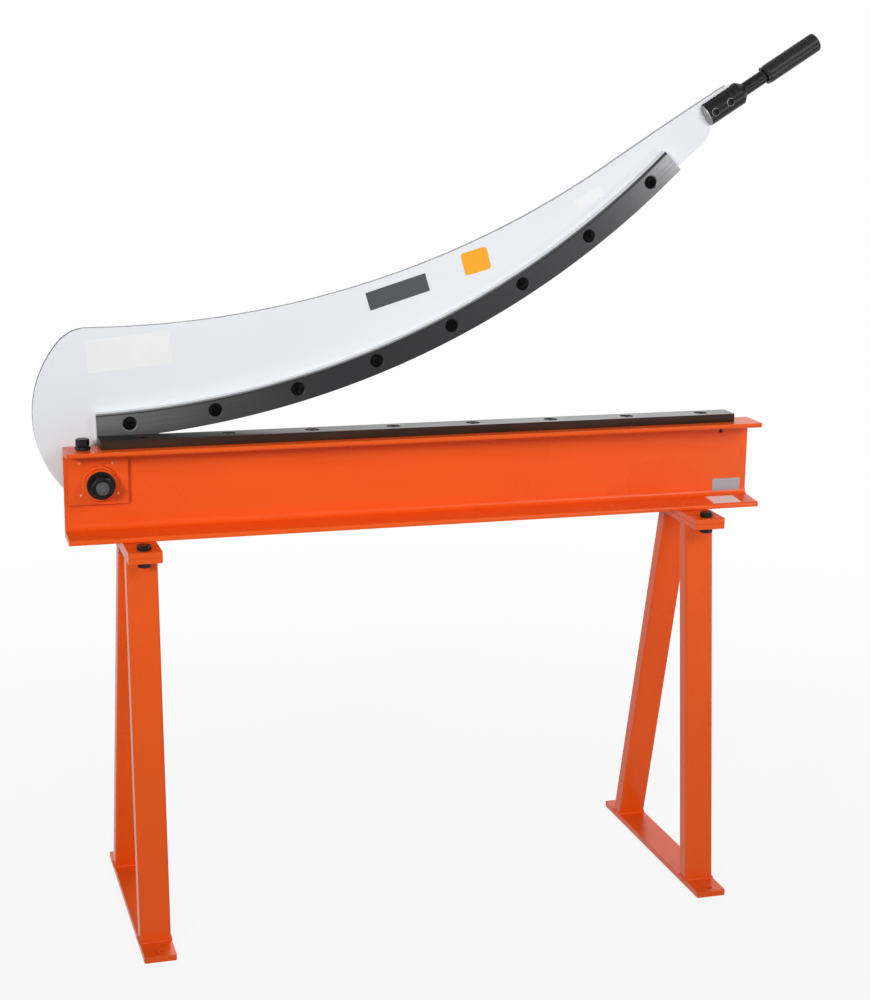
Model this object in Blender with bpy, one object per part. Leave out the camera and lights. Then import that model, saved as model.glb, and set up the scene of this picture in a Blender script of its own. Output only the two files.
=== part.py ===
"""Floor-standing lever shear for sheet metal: a rolled channel bed on two welded stands, a straight lower
blade on the bed, and a curved upper blade on a plate arm that swings on a pivot bolt at the left end.

Metres, +Z up. X runs along the bed from the pivot to the handle, Y from the operator's side to the rear.
The bed is laid out from its left end and from the toes of its flanges, the arm from its pivot, raised as it
is between two cuts. At the end the whole is set with the middle of its footprint on the origin.
"""
import math

import bmesh
import bpy
from mathutils import Matrix, Vector

# Fits
seat_gap = 0.0003            # between pieces that rest on or fill each other
blade_clearance = 0.0004     # between the two blades as they pass
cut_overrun = 0.002          # how far a cutter runs past what it cuts
weld_distance = 0.000001

# Bed: rolled channel, open towards the operator, with tapered flanges
bed_length = 1.126
bed_height = 0.140
flange_width = 0.060
web_thickness = 0.007
flange_thickness = 0.010     # half way along the flange
flange_taper_share = 0.08
root_radius = 0.010
toe_radius = 0.005
table_height = 0.7643        # top of the bed above the floor
web_hole_from_end = 0.0486
web_hole_below_top = 0.0210
web_hole_radius = 0.0035

# Blades, both cut from the same bar
blade_width = 0.040
blade_thickness = 0.0135
lower_blade_from_left = 0.0525
lower_blade_from_right = 0.0405
lower_blade_proud = 0.0005   # behind the web, so that the blades meet before the bed
screw_count = 8
lower_screw_from_left = 0.0665
lower_screw_from_right = 0.0515
edge_radius = 1.4153         # of the curved cutting edge
edge_start_up = 0.0638       # left end of that edge above the pivot
edge_start_back = 0.0005     # and behind it
edge_start_lean = math.radians(1.956)
upper_blade_short = 0.005    # how much shorter than the lower blade
upper_screw_from_end = 0.0505
blade_facets = 48

# Countersunk blade screws with a hexagon socket
screw_head_radius = 0.0093
screw_shank_radius = 0.0050
screw_rim = 0.0008
screw_sink = 0.0004
screw_key_flats = 0.006
screw_key_depth = 0.0035
screw_sides = 16

# Arm plate, laid out from the pivot
arm_thickness = 0.010
pivot_from_left = 0.053
pivot_below_top = 0.056
heel_radius = 0.0435
shoulder_radius = 0.1699     # of the left end of the arm
shoulder_angle = math.radians(53.3)
shoulder_facets = 24
crest_radius = 0.058
back_drop = 0.0388           # of the straight part of the back below the top of the shoulder's circle
back_start_ahead = 0.0135
back_radius = 1.4789
back_short = 0.1711          # how much shorter than the upper blade
plate_above_edge = 0.003
throat_ahead = 0.100
throat_radius = 0.016

# Handle, along an axis below the end of the arm's back
handle_droop = math.radians(1.1)
handle_axis_below = 0.0229
nose_radius = 6.770
nose_corner = 0.006
nose_facets = 8
neck_before_socket = 0.0125
neck_below_axis = 0.0325
neck_radius = 0.034
tongue_before_socket = 0.003
tongue_below_axis = 0.0165
tongue_in_socket = 0.0555
socket_start = 0.1768        # from the end of the back
socket_length = 0.0750
socket_radius = 0.0195
socket_dome_length = 0.0060  # of its rounded rear end
socket_dome_flat = 0.0080
socket_dome_facets = 4
socket_cone_length = 0.0095
socket_nose_radius = 0.0118
rod_radius = 0.0110
rod_seat_depth = 0.0145
rod_shown = 0.0420
rod_in_grip = 0.0850
rod_edge = 0.0010
grip_length = 0.1050
grip_wall = 0.0050
grip_collar_length = 0.0045
grip_collar_step = 0.0008
grip_edge = 0.0050
handle_sides = 24
socket_screw_from_start = 0.0100
socket_screw_pitch = 0.0297
socket_screw_radius = 0.0040
socket_screw_head_radius = 0.0068
socket_screw_head_length = 0.0045
socket_screw_proud = 0.0012
socket_screw_foot = 0.0010    # how far its end stays inside the socket
socket_screw_key_flats = 0.0050
socket_screw_key_depth = 0.0025

# Pivot
pivot_radius = 0.0100
pivot_flats = 0.030
pivot_head_length = 0.0125
pivot_nut_length = 0.0160
pivot_end_proud = 0.0080
pivot_washer_radius = 0.0215
pivot_washer_thickness = 0.0030
spacer_radius = 0.0220
boss_radius = 0.0240
boss_length = 0.0140
boss_weld = 0.0050
boss_edge = 0.0010
pad_length = 0.0910
pad_height = 0.0760
pad_thickness = 0.0080
pad_from_left = 0.0050
pad_below_top = 0.0125
pad_edge = 0.0010
pivot_sides = 24

# Bolt with a lock nut on the top flange
flange_bolt_from_left = 0.0268
flange_bolt_from_toe = 0.0280
flange_bolt_radius = 0.0060
flange_bolt_flats = 0.0180
flange_bolt_head_length = 0.0110
flange_nut_flats = 0.0205
flange_nut_length = 0.0060

# Stands
left_stand_from_left = 0.1050
right_stand_from_right = 0.1130
saddle_thickness = 0.0085
head_thickness = 0.0085
head_width = 0.051
head_front = 0.0620          # ahead of the flange toes
head_length = 0.1900
head_corner = 0.0020
leg_width = 0.0475
leg_depth = 0.0284           # measured level
leg_wall = 0.003
leg_corner = 0.004
front_leg_top = -0.0198      # its front face behind the toes
front_leg_foot = -0.0807
rear_leg_top = 0.0652
rear_leg_foot = 0.2175
base_thickness = 0.0095
base_width = 0.0495
base_front = 0.1306
base_length = 0.4156
base_corner = 0.0030
anchor_radius = 0.0068
anchor_from_end = 0.0162
stand_bolt_radius = 0.0060
stand_bolt_flats = 0.0190
stand_bolt_head_length = 0.0080
stand_bolt_from_end = 0.0170
stand_bolt_spare = 0.0010
stand_nut_length = 0.0080
stand_bolt_sides = 16
hexagon_edge_share = 0.12
bolt_end_edge = 0.0012
corner_facets = 6            # of every rounded corner
heel_facets = 12             # of the arm round its pivot

# Worked out from the sizes above, in the bed's own layout
lower_blade_back = flange_width + lower_blade_proud
lower_blade_length = bed_length - lower_blade_from_left - lower_blade_from_right
screw_row = lower_blade_back - blade_width / 2
blade_top = table_height + seat_gap + blade_thickness
upper_blade_front = lower_blade_back + blade_clearance
upper_blade_back = upper_blade_front + blade_thickness
upper_blade_length = lower_blade_length - upper_blade_short
arm_front = upper_blade_back + seat_gap
arm_back = arm_front + arm_thickness
arm_middle = arm_front + arm_thickness / 2
pivot_height = table_height - pivot_below_top
pad_front = flange_width - web_thickness - seat_gap - pad_thickness
boss_front = pad_front - seat_gap - boss_length
saddle_top = table_height - bed_height - seat_gap
head_top = saddle_top - saddle_thickness - seat_gap
leg_top = head_top - head_thickness - seat_gap
leg_foot = base_thickness + seat_gap

finishes = {
    "orange_paint": ((0.83, 0.085, 0.012), 0.32, 0.0),
    "white_paint": ((0.80, 0.82, 0.86), 0.35, 0.0),
    "blade_steel": ((0.16, 0.16, 0.17), 0.42, 0.85),
    "black_steel": ((0.018, 0.018, 0.020), 0.45, 0.6),
    "bright_steel": ((0.45, 0.45, 0.46), 0.30, 1.0),
    "grip_plastic": ((0.012, 0.012, 0.013), 0.55, 0.0),
}


def paint(name, kind):
    """Each piece has its own material, with the finish of its kind."""
    colour, roughness, metallic = finishes[kind]
    made = bpy.data.materials.new(name + "_finish")
    made.use_nodes = True
    shader = made.node_tree.nodes["Principled BSDF"]
    shader.inputs["Base Color"].default_value = (*colour, 1.0)
    shader.inputs["Roughness"].default_value = roughness
    shader.inputs["Metallic"].default_value = metallic
    return made


def add_empty(name, place, parent=None):
    empty = bpy.data.objects.new(name, None)
    empty.location = place
    empty.parent = parent
    bpy.context.scene.collection.objects.link(empty)
    return empty


def add_object(name, bm, place, parent):
    mesh = bpy.data.meshes.new(name)
    bm.to_mesh(mesh)
    bm.free()
    mesh.shade_smooth()
    mesh.set_sharp_from_angle(angle=math.radians(30.0))
    made = bpy.data.objects.new(name, mesh)
    made.location = place
    made.parent = parent
    bpy.context.scene.collection.objects.link(made)
    return made


def add_piece(name, bm, kind, parent, place=(0.0, 0.0, 0.0)):
    """Puts a mesh in the scene as one named piece with its own material."""
    piece = add_object(name, bm, place, parent)
    piece.data.materials.append(paint(name, kind))
    return piece


def combine(piece, bm, operation):
    """Cuts a volume out of a piece, or joins it on. The guide keeps the piece's place and parent."""
    guide = add_object("%s_guide_%d" % (piece.name, len(piece.modifiers)), bm, piece.location, piece.parent)
    guide.hide_render = True
    guide.display_type = "WIRE"
    step = piece.modifiers.new("shape", "BOOLEAN")
    step.operation = operation
    step.solver = "EXACT"
    step.object = guide


def gathered(parts):
    """Separate meshes as one, for a cut with several tools."""
    whole = bmesh.new()
    for part in parts:
        scratch = bpy.data.meshes.new("scratch")
        part.to_mesh(scratch)
        part.free()
        whole.from_mesh(scratch)
        bpy.data.meshes.remove(scratch)
    return whole


def tidy_faces(bm):
    bmesh.ops.remove_doubles(bm, verts=bm.verts, dist=weld_distance)
    bmesh.ops.recalc_face_normals(bm, faces=bm.faces)


def prism(points, along):
    """A flat outline pushed along a vector."""
    bm = bmesh.new()
    face = bm.faces.new([bm.verts.new(point) for point in points])
    grown = bmesh.ops.extrude_face_region(bm, geom=[face])["geom"]
    moved = [part for part in grown if isinstance(part, bmesh.types.BMVert)]
    bmesh.ops.translate(bm, verts=moved, vec=along)
    tidy_faces(bm)
    return bm


def plate(outline, front, back):
    """An upright outline in X and Z, from one Y to another."""
    return prism([(x, front, z) for x, z in outline], (0.0, back - front, 0.0))


def slab(outline, bottom, top, lean=0.0):
    """A level outline in X and Y, from one Z to another, its top shifted in Y."""
    return prism([(x, y, bottom) for x, y in outline], (0.0, lean, top - bottom))


def turned(profile, sides, ring=False):
    """A profile of radii and heights spun about Z. A ring's profile closes on itself."""
    bm = bmesh.new()
    verts = [bm.verts.new((radius, 0.0, height)) for radius, height in profile]
    edges = [bm.edges.new(pair) for pair in zip(verts, verts[1:])]
    if ring:
        edges.append(bm.edges.new((verts[-1], verts[0])))
    bmesh.ops.spin(bm, geom=verts + edges, cent=(0, 0, 0), axis=(0, 0, 1), angle=math.tau,
                   steps=sides, use_merge=True)
    tidy_faces(bm)
    return bm


def facing(bm, direction, place=(0.0, 0.0, 0.0)):
    """Turns a mesh made along Z to point another way, and moves it to its place."""
    turn = Vector(direction).to_track_quat("Z", "Y").to_matrix().to_4x4()
    bmesh.ops.transform(bm, matrix=Matrix.Translation(place) @ turn, verts=bm.verts)
    return bm


def arc(centre, radius, start, end, facets=corner_facets):
    """Points on a circle from one angle to another, ends included."""
    angles = [start + (end - start) * step / facets for step in range(facets + 1)]
    return [Vector((centre[0] + radius * math.cos(a), centre[1] + radius * math.sin(a))) for a in angles]


def rounded(corners):
    """An outline of (x, y, radius) corners, with an arc at each that has a radius."""
    outline = []
    for index, (x, y, radius) in enumerate(corners):
        corner = Vector((x, y))
        if not radius:
            outline.append(corner)
            continue
        before = (Vector(corners[index - 1][:2]) - corner).normalized()
        after = (Vector(corners[(index + 1) % len(corners)][:2]) - corner).normalized()
        half = before.angle(after) / 2
        centre = corner + (before + after).normalized() * (radius / math.sin(half))
        first = corner + before * (radius / math.tan(half)) - centre
        last = corner + after * (radius / math.tan(half)) - centre
        start = math.atan2(first.y, first.x)
        sweep = math.remainder(math.atan2(last.y, last.x) - start, math.tau)
        outline += arc(centre, radius, start, start + sweep)
    return outline


def rectangle(x0, x1, y0, y1, radius=0.0):
    return rounded([(x0, y0, radius), (x1, y0, radius), (x1, y1, radius), (x0, y1, radius)])


def sharp(points):
    return [(x, y, 0.0) for x, y in points]


def rod(radius, bottom, top, sides):
    return turned([(0.0, bottom), (radius, bottom), (radius, top), (0.0, top)], sides)


def bored_disc(radius, bore, thickness, sides):
    profile = [(bore, 0.0), (radius, 0.0), (radius, thickness), (bore, thickness)]
    return turned(profile, sides, ring=True)


def hexagon(flats, bottom, top, edge_share=hexagon_edge_share):
    """A hexagon bar along Z, its top edges bevelled by a share of its length."""
    reach = flats / math.sqrt(3)
    bm = slab([(reach * math.cos(k * math.pi / 3), reach * math.sin(k * math.pi / 3)) for k in range(6)],
              bottom, top)
    if edge_share:
        upper = [edge for edge in bm.edges if all(abs(v.co.z - top) < weld_distance for v in edge.verts)]
        bmesh.ops.bevel(bm, geom=upper, offset=edge_share * (top - bottom), segments=1, affect="EDGES")
        bmesh.ops.recalc_face_normals(bm, faces=bm.faces)
    return bm


def add_bolt(name, kind, parent, place, direction, radius, length, flats, head_length, edge, sides):
    """A hexagon bolt: its head starts at the place, and its shank points along the direction."""
    tip = [(0.0, -head_length / 2), (radius, -head_length / 2), (radius, length - edge),
           (radius - edge, length), (0.0, length)]
    bolt = add_piece(name, facing(turned(tip, sides), direction), kind, parent, place)
    head = facing(hexagon(flats, 0.0, head_length), -Vector(direction))
    combine(bolt, head, "UNION")
    return bolt


def add_nut(name, kind, parent, place, direction, flats, length, bore, sides):
    nut = add_piece(name, facing(hexagon(flats, 0.0, length), direction), kind, parent, place)
    hole = rod(bore + seat_gap, -cut_overrun, length + cut_overrun, sides)
    combine(nut, facing(hole, direction), "DIFFERENCE")


def screw_profile(length, top=0.0, ease=0.0):
    """Rim, cone and shank of a countersunk screw from its top face down, or of its hole with ease."""
    rim = screw_rim + ease
    head = screw_head_radius + ease
    shank = screw_shank_radius + ease
    return [(0.0, top), (head, top), (head, -rim), (shank, -rim - (head - shank)), (shank, -length),
            (0.0, -length)]


def add_screw(name, length, direction, place, parent):
    """One countersunk screw, its head just below the face that it is sunk into."""
    body = facing(turned(screw_profile(length), screw_sides), direction)
    screw = add_piece(name, body, "black_steel", parent, place)
    key = hexagon(screw_key_flats, -screw_key_depth, cut_overrun, edge_share=0.0)
    combine(screw, facing(key, direction), "DIFFERENCE")


def screw_hole(depth, direction, place):
    profile = screw_profile(depth, cut_overrun, seat_gap)
    sunk = [(r, z if z > 0.0 else z - screw_sink) for r, z in profile]
    return facing(turned(sunk, screw_sides), direction, place)


def thread_hole(radius, depth, direction, place, sides=screw_sides):
    return facing(rod(radius + seat_gap, -cut_overrun, depth + cut_overrun, sides), direction, place)


def spread(first, last, count):
    return [first + (last - first) * k / (count - 1) for k in range(count)]


def channel_outline():
    """The rolled section in Y and Z: web behind, two tapered flanges towards the operator."""
    toe = flange_thickness - flange_taper_share * flange_width / 2
    web_front = flange_width - web_thickness
    root = toe + flange_taper_share * web_front
    return rounded([
        (0.0, 0.0, 0.0), (flange_width, 0.0, 0.0), (flange_width, -bed_height, 0.0), (0.0, -bed_height, 0.0),
        (0.0, toe - bed_height, toe_radius), (web_front, root - bed_height, root_radius),
        (web_front, -root, root_radius), (0.0, -toe, toe_radius)])


def lower_screw_places():
    first = lower_blade_from_left + lower_screw_from_left
    last = bed_length - lower_blade_from_right - lower_screw_from_right
    return spread(first, last, screw_count)


def make_bed(frame):
    points = [(0.0, y, table_height + z) for y, z in channel_outline()]
    bed = add_piece("bed_channel", prism(points, (bed_length, 0.0, 0.0)), "orange_paint", frame)
    down = (0.0, 0.0, -1.0)
    forward = (0.0, -1.0, 0.0)
    flange_depth = flange_thickness + root_radius
    web_depth = web_thickness + root_radius
    tools = [thread_hole(screw_shank_radius, flange_depth, down, (x, screw_row, table_height))
             for x in lower_screw_places()]
    tools.append(thread_hole(flange_bolt_radius, flange_depth, down,
                             (flange_bolt_from_left, flange_bolt_from_toe, table_height)))
    tools.append(thread_hole(pivot_radius, web_thickness, forward,
                             (pivot_from_left, flange_width, pivot_height), pivot_sides))
    tools.append(thread_hole(web_hole_radius, web_depth, forward,
                             (bed_length - web_hole_from_end, flange_width, table_height - web_hole_below_top)))
    combine(bed, gathered(tools), "DIFFERENCE")


def make_lower_blade(frame):
    left = lower_blade_from_left
    outline = rectangle(left, left + lower_blade_length, lower_blade_back - blade_width, lower_blade_back)
    blade = add_piece("lower_blade", slab(outline, table_height + seat_gap, blade_top), "blade_steel", frame)
    up = (0.0, 0.0, 1.0)
    depth = blade_thickness + cut_overrun
    length = blade_thickness + flange_thickness - screw_sink
    tools = []
    for number, x in enumerate(lower_screw_places(), 1):
        tools.append(screw_hole(depth, up, (x, screw_row, blade_top)))
        add_screw("lower_blade_screw_%d" % number, length, up, (x, screw_row, blade_top - screw_sink), frame)
    combine(blade, gathered(tools), "DIFFERENCE")


def make_flange_bolt(frame):
    """A bolt with a lock nut, screwed into the top flange at its left end."""
    place = Vector((flange_bolt_from_left, flange_bolt_from_toe, table_height + seat_gap))
    add_nut("flange_bolt_nut", "black_steel", frame, place, (0, 0, 1), flange_nut_flats, flange_nut_length,
            flange_bolt_radius, stand_bolt_sides)
    seat = place + Vector((0.0, 0.0, flange_nut_length + seat_gap))
    add_bolt("flange_bolt", "black_steel", frame, seat, (0, 0, -1), flange_bolt_radius,
             flange_nut_length + flange_thickness - bolt_end_edge, flange_bolt_flats,
             flange_bolt_head_length, bolt_end_edge, stand_bolt_sides)


def make_pivot(frame):
    """Pad and boss on the web, then the bolt that the arm swings on, from its rear head to its front nut."""
    axis = Vector((pivot_from_left, 0.0, pivot_height))
    forward = Vector((0.0, -1.0, 0.0))
    bore = pivot_radius + seat_gap

    def at(y):
        return axis + Vector((0.0, y, 0.0))

    web_front = flange_width - web_thickness - seat_gap
    top = table_height - pad_below_top
    section = [(pad_front + pad_edge, top), (web_front, top - root_radius), (web_front, top - pad_height),
               (pad_front + pad_edge, top - pad_height), (pad_front, top - pad_height + pad_edge),
               (pad_front, top - pad_edge)]
    pad = add_piece("pivot_pad", prism([(pad_from_left, y, z) for y, z in section], (pad_length, 0.0, 0.0)),
                    "orange_paint", frame)
    hole = thread_hole(pivot_radius, pad_thickness, forward, at(web_front), pivot_sides)
    combine(pad, hole, "DIFFERENCE")

    profile = [(bore, 0.0), (boss_radius + boss_weld, 0.0), (boss_radius, boss_weld),
               (boss_radius, boss_length - boss_edge), (boss_radius - boss_edge, boss_length),
               (bore, boss_length)]
    add_piece("pivot_boss", facing(turned(profile, pivot_sides, ring=True), forward), "orange_paint", frame,
              at(pad_front - seat_gap))

    washer_back = boss_front - seat_gap
    nut_back = washer_back - pivot_washer_thickness - seat_gap
    washer = bored_disc(pivot_washer_radius, bore, pivot_washer_thickness, pivot_sides)
    add_piece("pivot_front_washer", facing(washer, forward), "black_steel", frame, at(washer_back))
    add_nut("pivot_nut", "black_steel", frame, at(nut_back), forward, pivot_flats, pivot_nut_length,
            pivot_radius, pivot_sides)

    spacer_length = arm_front - flange_width - 2 * seat_gap
    add_piece("arm_spacer", facing(bored_disc(spacer_radius, bore, spacer_length, pivot_sides), forward),
              "bright_steel", frame, at(arm_front - seat_gap))
    rear_washer_back = arm_back + seat_gap + pivot_washer_thickness
    washer = bored_disc(pivot_washer_radius, bore, pivot_washer_thickness, pivot_sides)
    add_piece("pivot_rear_washer", facing(washer, forward), "black_steel", frame, at(rear_washer_back))
    head_seat = rear_washer_back + seat_gap
    shank = head_seat - nut_back + pivot_nut_length + pivot_end_proud
    add_bolt("pivot_bolt", "bright_steel", frame, at(head_seat), forward, pivot_radius, shank, pivot_flats,
             pivot_head_length, bolt_end_edge, pivot_sides)


def edge_centre():
    """Centre of the curved cutting edge, from the pivot."""
    lean = edge_start_lean
    return Vector((-edge_start_back - edge_radius * math.sin(lean), edge_start_up + edge_radius * math.cos(lean)))


def edge_angle(along):
    """Angle from straight down of a point of the upper blade, by its length along the blade's middle."""
    return edge_start_lean + along / (edge_radius - blade_width / 2)


def blade_arc(radius, start, end, facets=blade_facets):
    quarter = math.pi / 2
    return arc(edge_centre(), radius, start - quarter, end - quarter, facets)


def make_upper_blade(arm):
    """The curved bar: its cutting edge below, its top parallel to it."""
    start = edge_angle(0.0)
    end = edge_angle(upper_blade_length)
    outline = blade_arc(edge_radius, start, end) + blade_arc(edge_radius - blade_width, end, start)
    front = upper_blade_front - arm_front
    blade = add_piece("upper_blade", plate(outline, front, -seat_gap), "blade_steel", arm)
    forward = (0.0, -1.0, 0.0)
    depth = blade_thickness + cut_overrun
    length = blade_thickness + arm_thickness - screw_sink
    tools = []
    for number, (x, z) in enumerate(upper_screw_places(), 1):
        tools.append(screw_hole(depth, forward, (x, front, z)))
        add_screw("upper_blade_screw_%d" % number, length, forward, (x, front + screw_sink, z), arm)
    combine(blade, gathered(tools), "DIFFERENCE")


def upper_screw_places():
    lengths = spread(upper_screw_from_end, upper_blade_length - upper_screw_from_end, screw_count)
    row = edge_radius - blade_width / 2
    return [edge_centre() + row * Vector((math.sin(a), -math.cos(a))) for a in map(edge_angle, lengths)]


def shoulder_centre():
    reach = shoulder_radius - heel_radius
    return reach * Vector((math.cos(shoulder_angle), math.sin(shoulder_angle)))


def back_centre():
    level = shoulder_centre().y + shoulder_radius - back_drop
    return Vector((back_start_ahead, level + back_radius))


def back_angle():
    return (upper_blade_length - back_short) / back_radius


def on_handle(along, across):
    """A point of the arm by its distance past the end of the back and above the handle's axis."""
    end = back_angle()
    start = back_centre() + back_radius * Vector((math.sin(end), -math.cos(end)))
    turn = end - handle_droop
    ahead = Vector((math.cos(turn), math.sin(turn)))
    return start + ahead * along + Vector((-ahead.y, ahead.x)) * (across - handle_axis_below)


def arm_outline():
    """The arm's edge from the throat along the blade, round the tongue and back over the shoulder."""
    row = edge_radius - plate_above_edge
    middle = edge_centre()
    throat = math.asin((throat_ahead - middle.x) / row)
    corners = sharp(blade_arc(row, throat, edge_angle(upper_blade_length)))
    corners[0] = (corners[0][0], corners[0][1], throat_radius)

    corners.append((*on_handle(socket_start - neck_before_socket, -neck_below_axis), neck_radius))
    corners.append((*on_handle(socket_start - tongue_before_socket, -tongue_below_axis), 0.0))
    tongue_end = socket_start + tongue_in_socket
    corners.append((*on_handle(tongue_end, -tongue_below_axis), 0.0))
    nose = (nose_radius * math.sin(handle_droop), handle_axis_below - nose_radius * math.cos(handle_droop))
    nose_end = math.acos((tongue_end - nose[0]) / nose_radius)
    nose_arc = arc(nose, nose_radius, nose_end, math.pi / 2 + handle_droop, nose_facets)
    corners.append((*on_handle(*nose_arc[0]), nose_corner))
    corners += sharp([on_handle(*point) for point in nose_arc[1:-1]])

    corners += sharp(arc(back_centre(), back_radius, back_angle() - math.pi / 2, -math.pi / 2, blade_facets))
    shoulder = shoulder_centre()
    crest_up = shoulder_radius - back_drop - crest_radius
    crest_back = math.sqrt((shoulder_radius - crest_radius) ** 2 - crest_up ** 2)
    crest = shoulder + Vector((-crest_back, crest_up))
    crest_end = math.atan2(crest_up, -crest_back)
    corners += sharp(arc(crest, crest_radius, math.pi / 2, crest_end))
    heel_start = shoulder_angle + math.pi
    corners += sharp(arc(shoulder, shoulder_radius, crest_end, heel_start, shoulder_facets)[1:])

    throat_point = Vector(corners[0][:2])
    lean = math.atan2(throat_point.y, throat_point.x) + math.asin(heel_radius / throat_point.length)
    corners += sharp(arc((0.0, 0.0), heel_radius, heel_start, lean + math.tau - math.pi / 2,
                         heel_facets)[1:])
    return rounded(corners)


def make_arm_plate(arm):
    """One heavy plate, cut to shape, bored for the pivot and drilled for the blade's screws."""
    arm_plate = add_piece("arm_plate", plate(arm_outline(), 0.0, arm_thickness), "white_paint", arm)
    back = (0.0, 1.0, 0.0)
    tools = [thread_hole(pivot_radius, arm_thickness, back, (0.0, 0.0, 0.0), pivot_sides)]
    for x, z in upper_screw_places():
        tools.append(thread_hole(screw_shank_radius, arm_thickness, back, (x, 0.0, z)))
    for along in socket_screw_places():
        x, z = on_handle(along, 0.0)
        tools.append(thread_hole(socket_screw_radius, arm_thickness, back, (x, 0.0, z)))
    combine(arm_plate, gathered(tools), "DIFFERENCE")


def socket_screw_places():
    first = socket_start + socket_screw_from_start
    return [first, first + socket_screw_pitch]


def make_handle(arm):
    """Slotted socket over the arm's tongue, with two screws, then the rod and its grip."""
    turn = back_angle() - handle_droop
    ahead = Vector((math.cos(turn), 0.0, math.sin(turn)))
    forward = Vector((0.0, -1.0, 0.0))
    middle = arm_thickness / 2

    def at(along, y=middle):
        x, z = on_handle(along, 0.0)
        return Vector((x, y, z))

    profile = [(0.0, -socket_dome_length)]
    for step in range(socket_dome_facets + 1):
        rise = step / socket_dome_facets * math.pi / 2
        profile.append((socket_dome_flat + (socket_radius - socket_dome_flat) * math.sin(rise),
                        -socket_dome_length * math.cos(rise)))
    profile += [(socket_radius, socket_length - socket_cone_length), (socket_nose_radius, socket_length),
                (0.0, socket_length)]
    socket = add_piece("handle_socket", facing(turned(profile, handle_sides), ahead), "black_steel", arm,
                       at(socket_start))
    half_slot = middle + seat_gap
    reach = socket_radius + cut_overrun
    slot = rectangle(-reach, reach, -half_slot, half_slot)
    slot_end = tongue_in_socket + seat_gap
    cheeks = slab(slot, -socket_dome_length - cut_overrun, slot_end)
    bmesh.ops.transform(cheeks, matrix=handle_turn(turn), verts=cheeks.verts)
    seat = rod(rod_radius + seat_gap, socket_length - rod_seat_depth - seat_gap, socket_length + cut_overrun,
               handle_sides)
    combine(socket, cheeks, "DIFFERENCE")
    combine(socket, facing(seat, ahead), "DIFFERENCE")
    head_seat = socket_radius + socket_screw_proud - socket_screw_head_length
    head = socket_screw_head_radius + seat_gap
    shank = socket_screw_radius + seat_gap
    profile = [(0.0, -reach), (shank, -reach), (shank, head_seat - seat_gap), (head, head_seat - seat_gap),
               (head, reach), (0.0, reach)]
    for along in socket_screw_places():
        place = ahead * (along - socket_start)
        combine(socket, facing(turned(profile, screw_sides), forward, place), "DIFFERENCE")

    for number, along in enumerate(socket_screw_places(), 1):
        top = socket_radius + socket_screw_proud
        foot = socket_screw_foot - socket_radius
        profile = [(0.0, foot), (socket_screw_radius, foot), (socket_screw_radius, head_seat),
                   (socket_screw_head_radius, head_seat), (socket_screw_head_radius, top), (0.0, top)]
        screw = add_piece("socket_screw_%d" % number, facing(turned(profile, screw_sides), forward),
                          "bright_steel", arm, at(along))
        key = hexagon(socket_screw_key_flats, top - socket_screw_key_depth, top + cut_overrun, edge_share=0.0)
        combine(screw, facing(key, forward), "DIFFERENCE")

    socket_end = socket_start + socket_length
    rod_start = socket_end - rod_seat_depth
    rod_length = rod_seat_depth + rod_shown + rod_in_grip
    profile = [(0.0, 0.0), (rod_radius, 0.0), (rod_radius, rod_length - rod_edge),
               (rod_radius - rod_edge, rod_length), (0.0, rod_length)]
    add_piece("handle_rod", facing(turned(profile, handle_sides), ahead), "black_steel", arm, at(rod_start))

    grip_radius = rod_radius + grip_wall
    collar = grip_radius - grip_collar_step
    bore = rod_radius + seat_gap
    depth = rod_in_grip + seat_gap
    profile = [(0.0, depth), (bore, depth), (bore, 0.0), (collar, 0.0), (collar, grip_collar_length),
               (grip_radius, grip_collar_length)]
    end_round = arc((grip_radius - grip_edge, grip_length - grip_edge), grip_edge, 0.0, math.pi / 2)
    profile += [tuple(point) for point in end_round] + [(0.0, grip_length)]
    add_piece("handle_grip", facing(turned(profile, handle_sides), ahead), "grip_plastic", arm,
              at(socket_end + rod_shown))


def handle_turn(turn):
    """Turns a mesh made along Z onto the handle's axis, its own Y staying level."""
    return Matrix.Rotation(math.pi / 2 - turn, 4, "Y")


def add_plate(name, outline, bottom, top, holes, bore, frame):
    made = add_piece(name, slab(outline, bottom, top), "orange_paint", frame)
    tools = [thread_hole(bore, top - bottom, (0, 0, -1), (x, y, top)) for x, y in holes]
    combine(made, gathered(tools), "DIFFERENCE")


def add_leg(name, middle, foot_front, top_front, frame):
    """A rectangular tube that leans in Y, cut level at both ends."""
    half = leg_width / 2
    lean = top_front - foot_front
    outline = rectangle(middle - half, middle + half, foot_front, foot_front + leg_depth, leg_corner)
    leg = add_piece(name, slab(outline, leg_foot, leg_top, lean), "orange_paint", frame)
    slope = lean / (leg_top - leg_foot)
    below = slope * cut_overrun
    wall = leg_wall
    inside = rectangle(middle - half + wall, middle + half - wall, foot_front + wall - below,
                       foot_front + leg_depth - wall - below, leg_corner - wall)
    bore = slab(inside, leg_foot - cut_overrun, leg_top + cut_overrun, lean + 2 * below)
    combine(leg, bore, "DIFFERENCE")


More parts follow.
